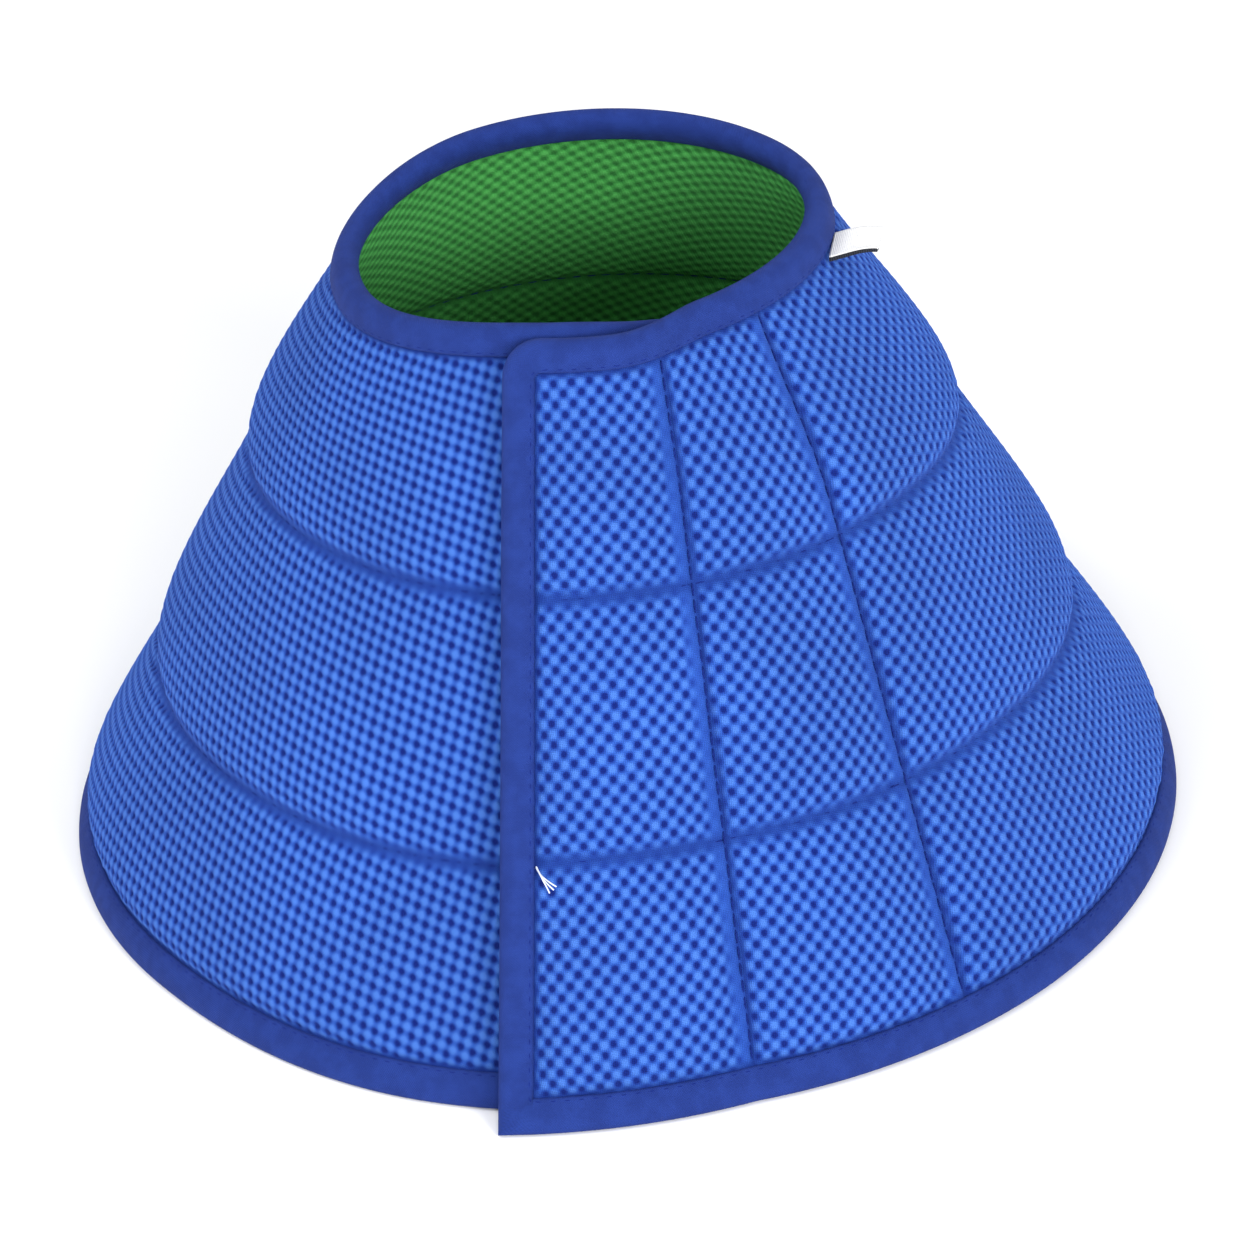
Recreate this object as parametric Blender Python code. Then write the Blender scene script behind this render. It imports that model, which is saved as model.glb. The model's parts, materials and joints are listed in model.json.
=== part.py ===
"""Soft cone collar: one quilted fabric sheet wound into a cone and closed by a wrap-round flap.

The sheet is described by three numbers. "turn" is degrees round the cone from the front (-Y) towards +X,
"slant" is millimetres down the cloth from the neck edge, and "normal" is millimetres out from the
sheet's middle surface. The sheet starts at the flap's free edge, goes once round and ends under the flap.
"""
import math

import bmesh
import bpy
from mathutils import Matrix, Vector

MM = 0.001

# Cone, measured on the sheet's middle surface where no layer lies under it.
NECK_RADIUS = 46.0
RIM_RADIUS = 116.0
CONE_HEIGHT = 142.0
SLANT_LENGTH = math.hypot(RIM_RADIUS - NECK_RADIUS, CONE_HEIGHT)
SIN_CONE = (RIM_RADIUS - NECK_RADIUS) / SLANT_LENGTH
COS_CONE = CONE_HEIGHT / SLANT_LENGTH
TAN_CONE = SIN_CONE / COS_CONE

# Straight lines down the cloth where one stretch of it ends: degrees of turn at the neck and at the rim.
FLAP_EDGE_LINE = (-19.5, -13.0)
STITCH_EDGE_LINE = (15.6, 11.2)
STITCH_INNER_LINE = (45.0, 34.4)
WING_HINGE_LINE = (150.0, 150.0)
UNDERLAP_END_LINE = (390.0, 390.0)

FLAP_STANDOFF = 6.8         # how far the flap lies outside the underlap, along the normal
STANDOFF_START_TURN = 45.0
UNDERLAP_START_TURN = 340.0
CORNER_FLARE = 6.2          # how far the flap's lower corner stands out from the cone
CORNER_FLARE_POWER = 1.5
UNDERLAP_FLARE = 4.6        # the same for the cloth beside and under that corner
UNDERLAP_FLARE_POWER = 2.5
UNDERLAP_FLARE_TURNS = (285.0, 340.0)

# Layers of the sheet.
HALF_LAYER_GAP = 0.15
MESH_THICKNESS = 1.2
LINING_THICKNESS = 1.0
MESH_TOP = HALF_LAYER_GAP + MESH_THICKNESS
LINING_BOTTOM = -HALF_LAYER_GAP - LINING_THICKNESS
OUTER_BULGE = 2.0
INNER_BULGE = 1.4
HIDDEN_OUTER_BULGE = 0.45   # share of the bulge left where the flap presses on the underlap
FLAP_INNER_BULGE = 0.25     # share of the inner bulge left inside the flap
PRESSED_FADE = 16.0         # degrees over which the outer bulge shrinks towards the underlap
FREE_FADE = 18.0            # degrees over which the inner bulge grows away from the flap
SIDE_BULGE_REACH = 18.0     # distance over which a panel swells away from a radial seam
CLEARANCE = 0.3

# Binding tape: a folded channel over every edge.
TAPE_THICKNESS = 0.8
TAPE_WIDTH = 7.0
TAPE_FOLD = 1.8             # thickness of the tape's fold, from the edge inwards
TAPE_FOLD_CHAMFER = 0.9
TAPE_TOP = MESH_TOP + CLEARANCE + TAPE_THICKNESS
TAPE_BOTTOM = LINING_BOTTOM - CLEARANCE - TAPE_THICKNESS
CORNER_RADIUS = 8.5
CORNER_STEPS = 4
END_TAPE_STEP = 24.0
FREE_END_COLUMN = 5.0       # distance of the second column of cloth from the tape of a free end
CLOTH_INSET = TAPE_FOLD + CLEARANCE

# Quilting: two ring seams cut the cloth into three bands, which swell between the seams and the tape.
RING_SLANTS = (SLANT_LENGTH * 0.35, SLANT_LENGTH * 0.685)
BAND_START = TAPE_WIDTH + 0.5
BAND_EDGES = (BAND_START,) + RING_SLANTS + (SLANT_LENGTH - BAND_START,)
BAND_NAMES = ("neck", "middle", "rim")
BAND_FRACTIONS = (0.0, 0.12, 0.32, 0.68, 0.88)
BAND_ROUNDNESS = 2.6
SIDE_ROUNDNESS = 2.4
SEAM_COLUMNS = (3.5, 8.5)    # distances of the first columns of cloth from a radial seam
WADDING_FRACTIONS = (0.17, 0.39, 0.61, 0.83)
WADDING_SEAM_MARGIN = 6.0
WADDING_CLEARANCE = 0.5
WADDING_TAPE_MARGIN = BAND_START + 6.0
THREAD_RADIUS = 0.3
THREAD_END_MARGIN = 1.6
THREAD_NORMAL = MESH_TOP + CLEARANCE + THREAD_RADIUS

# Hinges: each axis is a straight line down the cone, above the cloth's outer face.
STITCH_AXIS_NORMAL = TAPE_TOP + 0.15
WING_AXIS_NORMAL = MESH_TOP + OUTER_BULGE + 0.15
HINGE_TRIM = 0.15           # each panel stops this far from the hinge plane
COLUMN_STEP = 6.6           # degrees between columns of the sheet

# Hook and loop closure.
CLOSURE_THICKNESS = 0.8
CLOSURE_SLANTS = (18.0, 138.0)
CLOSURE_SEAM_MARGIN = 6.0
CLOSURE_STEP = 12.0
LOOP_LINES = ((352.0, 352.0), (381.0, 381.0))

# Label tab.
LABEL_TURN = 80.0
LABEL_WIDTH = 11.0
LABEL_LENGTH = 11.5
LABEL_PLY = 0.4
LABEL_PLY_GAP = 0.1
LABEL_SLANT = TAPE_WIDTH + 0.8
LABEL_NORMAL = MESH_TOP + 1.0
LABEL_BACKING_OVERHANG = 1.2

# Loose thread end: millimetres from the free edge, past the lower ring seam, and above the cloth.
THREAD_TAIL_PATH = ((7.6, 1.0, 0.7), (8.6, 2.8, 1.4), (10.6, 4.6, 1.1))

NAVY_TAPE = (0.028, 0.058, 0.32, 1.0)
BLUE_MESH = (0.045, 0.13, 0.55, 1.0)
GREEN_MESH = (0.035, 0.21, 0.04, 1.0)
WADDING_WHITE = (0.75, 0.76, 0.78, 1.0)
THREAD_BLUE = (0.02, 0.05, 0.28, 1.0)
CLOSURE_BLUE = (0.02, 0.03, 0.12, 1.0)
LABEL_WHITE = (0.85, 0.85, 0.83, 1.0)
LABEL_DARK = (0.02, 0.025, 0.05, 1.0)


def smoothstep(start, end, value):
    """0 before start, 1 after end, and a smooth rise between."""
    share = min(max((value - start) / (end - start), 0.0), 1.0)
    return share * share * (3.0 - 2.0 * share)


def line_turn(line, slant):
    """Turn at which a straight line down the cloth crosses this height."""
    twist = math.radians(line[1] - line[0])
    share = slant / SLANT_LENGTH
    near = (1.0 - share) * NECK_RADIUS
    far = share * RIM_RADIUS
    return line[0] + math.degrees(math.atan2(far * math.sin(twist), near + far * math.cos(twist)))


def standoff(turn):
    """Distance of the sheet outside the base cone: full on the flap, none on the underlap."""
    share = (UNDERLAP_START_TURN - turn) / (UNDERLAP_START_TURN - STANDOFF_START_TURN)
    return FLAP_STANDOFF * min(max(share, 0.0), 1.0)


def corner_flare(turn, slant):
    """Extra radius round the flap's lower corner and of the cloth beside and under it."""
    down = max(slant / SLANT_LENGTH, 0.0)
    seam = line_turn(STITCH_EDGE_LINE, slant)
    edge = line_turn(FLAP_EDGE_LINE, slant)
    if turn < seam:
        return CORNER_FLARE * (seam - turn) / (seam - edge) * down ** CORNER_FLARE_POWER
    under_flap = min(max((seam + 360.0 - turn) / (seam - edge), 0.0), 1.0)
    share = smoothstep(UNDERLAP_FLARE_TURNS[0], UNDERLAP_FLARE_TURNS[1], turn) * under_flap
    return UNDERLAP_FLARE * share * down ** UNDERLAP_FLARE_POWER


def sheet_frame(turn, slant):
    """Position on the middle surface and the outward normal, in millimetres."""
    angle = math.radians(turn)
    around = Vector((math.sin(angle), -math.cos(angle), 0.0))
    radius = NECK_RADIUS + slant * SIN_CONE + standoff(turn) / COS_CONE + corner_flare(turn, slant)
    position = around * radius + Vector((0.0, 0.0, CONE_HEIGHT - slant * COS_CONE))
    outward = around * COS_CONE + Vector((0.0, 0.0, SIN_CONE))
    return position, outward


def sheet_point(turn, slant, normal):
    position, outward = sheet_frame(turn, slant)
    return position + outward * normal


def sheet_radius(turn, slant):
    """Horizontal distance from the cone's axis to the middle surface."""
    position, _ = sheet_frame(turn, slant)
    return math.hypot(position.x, position.y)


def turn_for(distance, turn, slant):
    """Degrees of turn that cover a distance along the cloth at this height."""
    return math.degrees(distance / sheet_radius(turn, slant))


def band_profile(slant):
    """Swelling of the quilted bands: 0 on a seam, 1 in the middle of a band."""
    for low, high in zip(BAND_EDGES, BAND_EDGES[1:]):
        if slant <= high:
            offset = abs(2.0 * (slant - low) / (high - low) - 1.0)
            return max(1.0 - offset ** BAND_ROUNDNESS, 0.0) if slant >= low else 0.0
    return 0.0


def side_profile(turn, slant):
    """Swelling away from the radial seams and from the tape on the cloth's two free ends."""
    swell = 1.0
    seams = ((FLAP_EDGE_LINE, BAND_START), (STITCH_EDGE_LINE, 0.0), (STITCH_INNER_LINE, 0.0),
             (UNDERLAP_END_LINE, BAND_START))
    for seam, flat in seams:
        away = math.radians(abs(turn - line_turn(seam, slant)))
        distance = away * sheet_radius(turn, slant) - flat
        if distance < SIDE_BULGE_REACH:
            swell *= 1.0 - (1.0 - max(distance, 0.0) / SIDE_BULGE_REACH) ** SIDE_ROUNDNESS
    return swell


def outer_bulge(turn, slant):
    pressed = smoothstep(UNDERLAP_START_TURN - PRESSED_FADE, UNDERLAP_START_TURN, turn)
    share = 1.0 - (1.0 - HIDDEN_OUTER_BULGE) * pressed
    return OUTER_BULGE * share * band_profile(slant) * side_profile(turn, slant)


def inner_bulge(turn, slant):
    free = smoothstep(STANDOFF_START_TURN, STANDOFF_START_TURN + FREE_FADE, turn)
    share = FLAP_INNER_BULGE + (1.0 - FLAP_INNER_BULGE) * free
    return INNER_BULGE * share * band_profile(slant) * side_profile(turn, slant)


def mesh_outside(turn, slant):
    return MESH_TOP + outer_bulge(turn, slant)


def mesh_inside(turn, slant):
    return HALF_LAYER_GAP + outer_bulge(turn, slant)


def lining_outside(turn, slant):
    return -HALF_LAYER_GAP - inner_bulge(turn, slant)


def lining_inside(turn, slant):
    return LINING_BOTTOM - inner_bulge(turn, slant)


def wadding_outside(turn, slant):
    return mesh_inside(turn, slant) - WADDING_CLEARANCE


def wadding_inside(turn, slant):
    return lining_outside(turn, slant) + WADDING_CLEARANCE


def make_material(name, colour, roughness):
    material = bpy.data.materials.new(name)
    material.use_nodes = True
    shader = material.node_tree.nodes["Principled BSDF"]
    shader.inputs["Base Color"].default_value = colour
    shader.inputs["Roughness"].default_value = roughness
    material.diffuse_color = colour
    return material


def add_object(name, data, colour, roughness, collection):
    piece = bpy.data.objects.new(name, data)
    data.materials.append(make_material(name, colour, roughness))
    collection.objects.link(piece)
    return piece


def add_solid(name, points, faces, colour, roughness, collection):
    """Closed mesh from points in millimetres; its faces are all turned outwards."""
    work = bmesh.new()
    corners = [work.verts.new(point * MM) for point in points]
    for face in faces:
        work.faces.new([corners[index] for index in face])
    bmesh.ops.recalc_face_normals(work, faces=work.faces)
    mesh = bpy.data.meshes.new(name)
    work.to_mesh(mesh)
    work.free()
    return add_object(name, mesh, colour, roughness, collection)


def spaced(start, end, step):
    """Evenly spaced values from start to end, in either direction, no further apart than step."""
    count = max(int(math.ceil(abs(end - start) / step)), 1)
    return [start + (end - start) * index / count for index in range(count + 1)]


def tube_faces(loops, size):
    """Faces of a solid made of a row of point loops, each of the same size, closed at both ends."""
    faces = []
    for near in range(0, (loops - 1) * size, size):
        for index in range(size):
            after = (index + 1) % size
            faces.append((near + index, near + after, near + size + after, near + size + index))
    faces.append(tuple(range(size)))
    faces.append(tuple(range((loops - 1) * size, loops * size)))
    return faces


def strip_faces(columns, rows):
    """The same for loops that go down the outside of the cloth and back up the inside, with quad ends."""
    size = 2 * rows
    faces = tube_faces(columns, size)[:-2]
    for first in (0, (columns - 1) * size):
        for row in range(rows - 1):
            inside = size - 1 - row
            faces.append((first + row, first + inside, first + inside - 1, first + row + 1))
    return faces


def column_turns(span, insets, slant):
    """Turns of the columns at one height: fixed insets from both ends and even columns between them."""
    def near_ends(height):
        start, stop = [line_turn(line, height) for line in span]
        first = [start + turn_for(inset, start, height) for inset in insets[0](height)]
        last = [stop - turn_for(inset, stop, height) for inset in insets[1](height)]
        return first, last

    widest_first, widest_last = near_ends(SLANT_LENGTH)
    count = len(spaced(widest_first[-1], widest_last[-1], COLUMN_STEP)) - 1
    first, last = near_ends(slant)
    even = [first[-1] + (last[-1] - first[-1]) * column / count for column in range(1, count)]
    return first + even + last[::-1]


def sheet_solid(name, span, slants, inside, outside, insets, colour, collection):
    """Closed solid between two surfaces of the sheet, over a grid of slants and columns."""
    rows = [column_turns(span, insets, slant) for slant in slants]
    points = []
    for column in range(len(rows[0])):
        loop = [(row[column], slant) for row, slant in zip(rows, slants)]
        points += [sheet_point(turn, slant, outside(turn, slant)) for turn, slant in loop]
        points += [sheet_point(turn, slant, inside(turn, slant)) for turn, slant in reversed(loop)]
    return add_solid(name, points, strip_faces(len(rows[0]), len(slants)), colour, 0.9, collection)


# Insets of a piece's first columns from its end of the cloth, in millimetres, at a height.

def plain_end(slant):
    return [HINGE_TRIM]


def seam_end(slant):
    return [HINGE_TRIM, *SEAM_COLUMNS]


def free_end(slant):
    """The cloth is cut back inside the tape of a free end, following its rounded top corner."""
    reach = CORNER_RADIUS - CLOTH_INSET
    rise = max(CORNER_RADIUS - slant, 0.0)
    edge = CORNER_RADIUS - math.sqrt(max(reach * reach - rise * rise, 0.0))
    return [edge, max(BAND_START, edge + 1.0), BAND_START + FREE_END_COLUMN]


def wadding_seam_end(slant):
    return [WADDING_SEAM_MARGIN]


def wadding_free_end(slant):
    return [WADDING_TAPE_MARGIN]


def thread_end(slant):
    return [THREAD_END_MARGIN]


def thread_free_end(slant):
    return [BAND_START + THREAD_END_MARGIN]


def closure_free_end(slant):
    return [BAND_START + 1.0]


def closure_seam_end(slant):
    return [CLOSURE_SEAM_MARGIN]


def cloth_slants():
    """Rows of the outer mesh and lining, closer together beside the seams."""
    rows = [CLOTH_INSET, 0.5 * (CLOTH_INSET + BAND_START)]
    for low, high in zip(BAND_EDGES, BAND_EDGES[1:]):
        rows += [low + (high - low) * share for share in BAND_FRACTIONS]
    return rows + [BAND_EDGES[-1], SLANT_LENGTH - CLOTH_INSET]


def build_cloth(panel, collection):
    """Outer mesh and lining of one panel."""
    slants = cloth_slants()
    span, insets = panel["span"], panel["cloth"]
    mesh = sheet_solid("outer_mesh_" + panel["name"], span, slants, mesh_inside, mesh_outside,
                       insets, BLUE_MESH, collection)
    lining = sheet_solid("lining_" + panel["name"], span, slants, lining_inside, lining_outside,
                         insets, GREEN_MESH, collection)
    return [mesh, lining]


def build_wadding(panel, collection):
    """One strip of wadding in each quilted band."""
    pieces = []
    for band, low, high in zip(BAND_NAMES, BAND_EDGES, BAND_EDGES[1:]):
        slants = [low + (high - low) * share for share in WADDING_FRACTIONS]
        pieces.append(sheet_solid("wadding_" + panel["name"] + "_" + band, panel["span"], slants,
                                  wadding_inside, wadding_outside, panel["wadding"],
                                  WADDING_WHITE, collection))
    return pieces


def thread(name, points, colour, collection):
    """A round thread through the points."""
    curve = bpy.data.curves.new(name, "CURVE")
    curve.dimensions = "3D"
    curve.bevel_depth = THREAD_RADIUS * MM
    curve.bevel_resolution = 1
    curve.use_fill_caps = True
    spline = curve.splines.new("POLY")
    spline.points.add(len(points) - 1)
    for target, point in zip(spline.points, points):
        target.co = (point.x * MM, point.y * MM, point.z * MM, 1.0)
    return add_object(name, curve, colour, 0.7, collection)


def build_ring_stitches(panel, collection):
    """Two lines of thread along the ring seams of a panel."""
    pieces = []
    for name, slant in zip(("upper", "lower"), RING_SLANTS):
        turns = column_turns(panel["span"], panel["thread"], slant)
        points = [sheet_point(turn, slant, THREAD_NORMAL) for turn in turns]
        pieces.append(thread("ring_stitch_" + panel["name"] + "_" + name, points, THREAD_BLUE, collection))
    return pieces


def radial_stitch(name, line, collection):
    """A line of thread straight down the flap."""
    margin = TAPE_WIDTH + THREAD_END_MARGIN
    slants = spaced(margin, SLANT_LENGTH - margin, END_TAPE_STEP)
    points = [sheet_point(line_turn(line, slant), slant, THREAD_NORMAL) for slant in slants]
    return thread(name, points, THREAD_BLUE, collection)


def tape_section(at_rim):
    """Closed outline of the folded tape, as pairs of depth in from the cloth's edge and normal."""
    inner_top = TAPE_TOP - TAPE_THICKNESS
    inner_bottom = TAPE_BOTTOM + TAPE_THICKNESS
    middle = 0.5 * (TAPE_TOP + TAPE_BOTTOM)
    if at_rim:
        # The fold is pressed flat, so that the rim stands level on the floor.
        fold = [(-normal * TAN_CONE, normal) for normal in (TAPE_TOP, middle, TAPE_BOTTOM)]
    else:
        fold = [(TAPE_FOLD_CHAMFER, TAPE_TOP), (0.0, middle), (TAPE_FOLD_CHAMFER, TAPE_BOTTOM)]
    channel = [(TAPE_WIDTH, TAPE_BOTTOM), (TAPE_WIDTH, inner_bottom), (TAPE_FOLD, inner_bottom),
               (TAPE_FOLD, inner_top), (TAPE_WIDTH, inner_top)]
    return [(TAPE_WIDTH, TAPE_TOP)] + fold + channel


def edge_tape(name, span, at_rim, collection):
    """Binding along the neck or the rim of a panel that has a hinge at both ends."""
    section = tape_section(at_rim)
    columns = len(column_turns(span, (plain_end, plain_end), 0.0))
    points = []
    for column in range(columns):
        for depth, normal in section:
            slant = SLANT_LENGTH - depth if at_rim else depth
            turn = column_turns(span, (plain_end, plain_end), slant)[column]
            points.append(sheet_point(turn, slant, normal))
    return add_solid(name, points, tube_faces(columns, len(section)), NAVY_TAPE, 0.85, collection)


def end_tape(name, hinge_line, end_line, collection):
    """Binding in one length: along the neck, down a free end of the cloth and back along the rim."""
    side = 1.0 if end_line[0] > hinge_line[0] else -1.0
    neck = tape_section(False)
    rim = tape_section(True)
    count = len(spaced(hinge_line[1], end_line[1], COLUMN_STEP)) - 1
    points = []

    def run_turn(slant, corner, column):
        start, stop = line_turn(hinge_line, slant), line_turn(end_line, slant)
        start += side * turn_for(HINGE_TRIM, start, slant)
        stop -= side * turn_for(corner, stop, slant)
        return start + (stop - start) * column / count

    def end_point(inset, slant, normal):
        edge = line_turn(end_line, slant)
        return sheet_point(edge - side * turn_for(inset, edge, slant), slant, normal)

    for column in range(count + 1):
        for depth, normal in neck:
            points.append(sheet_point(run_turn(depth, CORNER_RADIUS, column), depth, normal))
    for step in range(1, CORNER_STEPS + 1):
        angle = 0.5 * math.pi * step / CORNER_STEPS
        for depth, normal in neck:
            reach = CORNER_RADIUS - depth
            inset = CORNER_RADIUS - reach * math.sin(angle)
            points.append(end_point(inset, CORNER_RADIUS - reach * math.cos(angle), normal))
    for slant in spaced(CORNER_RADIUS, SLANT_LENGTH - TAPE_WIDTH, END_TAPE_STEP)[1:-1]:
        for depth, normal in neck:
            points.append(end_point(depth, slant, normal))
    for (end_depth, normal), (depth, _) in zip(neck, rim):
        points.append(end_point(end_depth, SLANT_LENGTH - depth, normal))
    for column in range(count, -1, -1):
        for depth, normal in rim:
            slant = SLANT_LENGTH - depth
            if column == count:
                continue
            points.append(sheet_point(run_turn(slant, 0.0, column), slant, normal))

    faces = tube_faces(len(points) // len(neck), len(neck))
    return add_solid(name, points, faces, NAVY_TAPE, 0.85, collection)


def build_closure(collection):
    """Hook strip inside the flap's edge panel and loop strip on the underlap below it."""
    slants = spaced(CLOSURE_SLANTS[0], CLOSURE_SLANTS[1], CLOSURE_STEP)

    def hook_inside(turn, slant):
        return hook_outside(turn, slant) - CLOSURE_THICKNESS

    def hook_outside(turn, slant):
        return lining_inside(turn, slant) - CLEARANCE

    def loop_inside(turn, slant):
        return THREAD_NORMAL + THREAD_RADIUS + CLEARANCE

    def loop_outside(turn, slant):
        return loop_inside(turn, slant) + CLOSURE_THICKNESS

    hook = sheet_solid("hook_strip", (FLAP_EDGE_LINE, STITCH_EDGE_LINE), slants, hook_inside, hook_outside,
                       (closure_free_end, closure_seam_end), CLOSURE_BLUE, collection)
    loop = sheet_solid("loop_strip", LOOP_LINES, slants, loop_inside, loop_outside,
                       (plain_end, plain_end), CLOSURE_BLUE, collection)
    return hook, loop


def label_frame():
    """Middle of the label's sewn edge, with the outward and sideways directions."""
    angle = math.radians(LABEL_TURN)
    outward = Vector((math.sin(angle), -math.cos(angle), 0.0))
    sideways = Vector((math.cos(angle), math.sin(angle), 0.0))
    return sheet_point(LABEL_TURN, LABEL_SLANT, LABEL_NORMAL), outward, sideways


def label_ply(name, low, length, colour, collection):
    """One flat ply of the label, level and standing straight out."""
    root, outward, sideways = label_frame()
    points = []
    for out in (0.0, length):
        for across, up in ((-0.5, 0.0), (0.5, 0.0), (0.5, 1.0), (-0.5, 1.0)):
            lift = Vector((0.0, 0.0, low + LABEL_PLY * up))
            points.append(root + outward * out + sideways * (LABEL_WIDTH * across) + lift)
    return add_solid(name, points, tube_faces(2, 4), colour, 0.6, collection)


def build_thread_tail(collection):
    """Loose end of the lower ring seam's thread, beside the flap's free edge."""
    points = []
    for inset, past, above in THREAD_TAIL_PATH:
        slant = RING_SLANTS[1] + past
        edge = line_turn(FLAP_EDGE_LINE, slant)
        turn = edge + turn_for(inset, edge, slant)
        points.append(sheet_point(turn, slant, mesh_outside(turn, slant) + above))
    return thread("thread_tail", points, LABEL_WHITE, collection)


def panel_pieces(panel, collection):
    """Cloth, wadding and ring seams of one panel."""
    return (build_cloth(panel, collection) + build_wadding(panel, collection)
            + build_ring_stitches(panel, collection))


def build_back(collection):
    panel = {"name": "back", "span": (WING_HINGE_LINE, UNDERLAP_END_LINE),
             "cloth": (plain_end, free_end),
             "wadding": (plain_end, wadding_free_end), "thread": (thread_end, thread_free_end)}
    return panel_pieces(panel, collection) + [
        end_tape("binding_back", WING_HINGE_LINE, UNDERLAP_END_LINE, collection)]


def build_right_wing(collection):
    span = (STITCH_INNER_LINE, WING_HINGE_LINE)
    panel = {"name": "right", "span": span, "cloth": (seam_end, plain_end),
             "wadding": (wadding_seam_end, plain_end), "thread": (thread_end, thread_end)}
    return panel_pieces(panel, collection) + [
        edge_tape("neck_binding_right", span, False, collection),
        edge_tape("rim_binding_right", span, True, collection)]


def build_flap_inner(collection):
    span = (STITCH_EDGE_LINE, STITCH_INNER_LINE)
    panel = {"name": "flap_inner", "span": span, "cloth": (seam_end, seam_end),
             "wadding": (wadding_seam_end, wadding_seam_end), "thread": (thread_end, thread_end)}
    return panel_pieces(panel, collection) + [
        edge_tape("neck_binding_flap_inner", span, False, collection),
        edge_tape("rim_binding_flap_inner", span, True, collection),
        radial_stitch("radial_stitch_inner", STITCH_INNER_LINE, collection)]


def build_flap_edge(collection):
    panel = {"name": "flap_edge", "span": (FLAP_EDGE_LINE, STITCH_EDGE_LINE),
             "cloth": (free_end, seam_end), "wadding": (wadding_free_end, wadding_seam_end),
             "thread": (thread_free_end, thread_end)}
    return panel_pieces(panel, collection) + [
        end_tape("binding_flap_edge", STITCH_EDGE_LINE, FLAP_EDGE_LINE, collection),
        radial_stitch("radial_stitch_edge", STITCH_EDGE_LINE, collection),
        build_thread_tail(collection)]


def build_label(collection):
    return [label_ply("label_tab", 0.5 * LABEL_PLY_GAP, LABEL_LENGTH, LABEL_WHITE, collection),
            label_ply("label_backing", -0.5 * LABEL_PLY_GAP - LABEL_PLY,
                      LABEL_LENGTH + LABEL_BACKING_OVERHANG, LABEL_DARK, collection)]


def add_hinge(name, position, axis, pieces, parent, collection):
    """Empty on a hinge, its local Z along the axis, that carries the pieces turning about it."""
    hinge = bpy.data.objects.new(name, None)
    hinge.empty_display_size = 0.02
    hinge.matrix_world = Matrix.Translation(position) @ axis.to_track_quat("Z", "Y").to_matrix().to_4x4()
    collection.objects.link(hinge)
    bpy.context.view_layer.update()
    if parent:
        hinge.parent = parent
        hinge.matrix_parent_inverse = parent.matrix_world.inverted()
        bpy.context.view_layer.update()
    for piece in pieces:
        piece.parent = hinge
        piece.matrix_parent_inverse = hinge.matrix_world.inverted()
    return hinge


def add_sheet_hinge(name, line, normal, shift, pieces, parent, collection):
    """Hinge along a straight line down the cone."""
    top = sheet_point(line[0], 0.0, normal) * MM + shift
    bottom = sheet_point(line[1], SLANT_LENGTH, normal) * MM + shift
    return add_hinge(name, (top + bottom) * 0.5, (top - bottom).normalized(), pieces, parent, collection)


def centre_over_origin(pieces):
    """Move the meshes so that the collar's box is centred on the vertical axis. Returns the shift."""
    corners = [Vector(corner) for piece in pieces for corner in piece.bound_box]
    middle = [0.5 * (min(c[axis] for c in corners) + max(c[axis] for c in corners)) for axis in (0, 1)]
    shift = Vector((-middle[0], -middle[1], 0.0))
    for piece in pieces:
        piece.data.transform(Matrix.Translation(shift))
    return shift


def clear_scene():
    for existing in list(bpy.data.objects):
        bpy.data.objects.remove(existing, do_unlink=True)


def build():
    clear_scene()
    collection = bpy.data.collections.new("elizabethan_collar")
    bpy.context.scene.collection.children.link(collection)
    hook, loop = build_closure(collection)
    back = build_back(collection) + [loop]
    right = build_right_wing(collection)
    flap_inner = build_flap_inner(collection)
    flap_edge = build_flap_edge(collection) + [hook]
    label = build_label(collection)
    bpy.context.view_layer.update()
    shift = centre_over_origin(back + right + flap_inner + flap_edge + label)

    right_hinge = add_sheet_hinge("right_wing_hinge", WING_HINGE_LINE, WING_AXIS_NORMAL, shift, right,
                                  None, collection)
    inner_hinge = add_sheet_hinge("flap_inner_hinge", STITCH_INNER_LINE, STITCH_AXIS_NORMAL, shift,
                                  flap_inner, right_hinge, collection)
    add_sheet_hinge("flap_edge_hinge", STITCH_EDGE_LINE, STITCH_AXIS_NORMAL, shift, flap_edge,
                    inner_hinge, collection)
    root, _, sideways = label_frame()
    add_hinge("label_hinge", root * MM + shift, -sideways, label, right_hinge, collection)


build()
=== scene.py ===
"""Looks of the soft cone collar: blue air mesh outside, green mesh lining, quilted bands and bound edges.

The sheet is described by "turn" (degrees round the cone from the front, -Y, towards +X), "slant"
(millimetres down the cloth from the neck edge) and "normal" (millimetres out from the middle surface).
A line down the cloth is a pair of turns: where it starts at the neck and where it ends at the rim.
"""
import json
import math

import bmesh
import bpy
import numpy as np
from mathutils import Matrix, Vector


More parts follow.
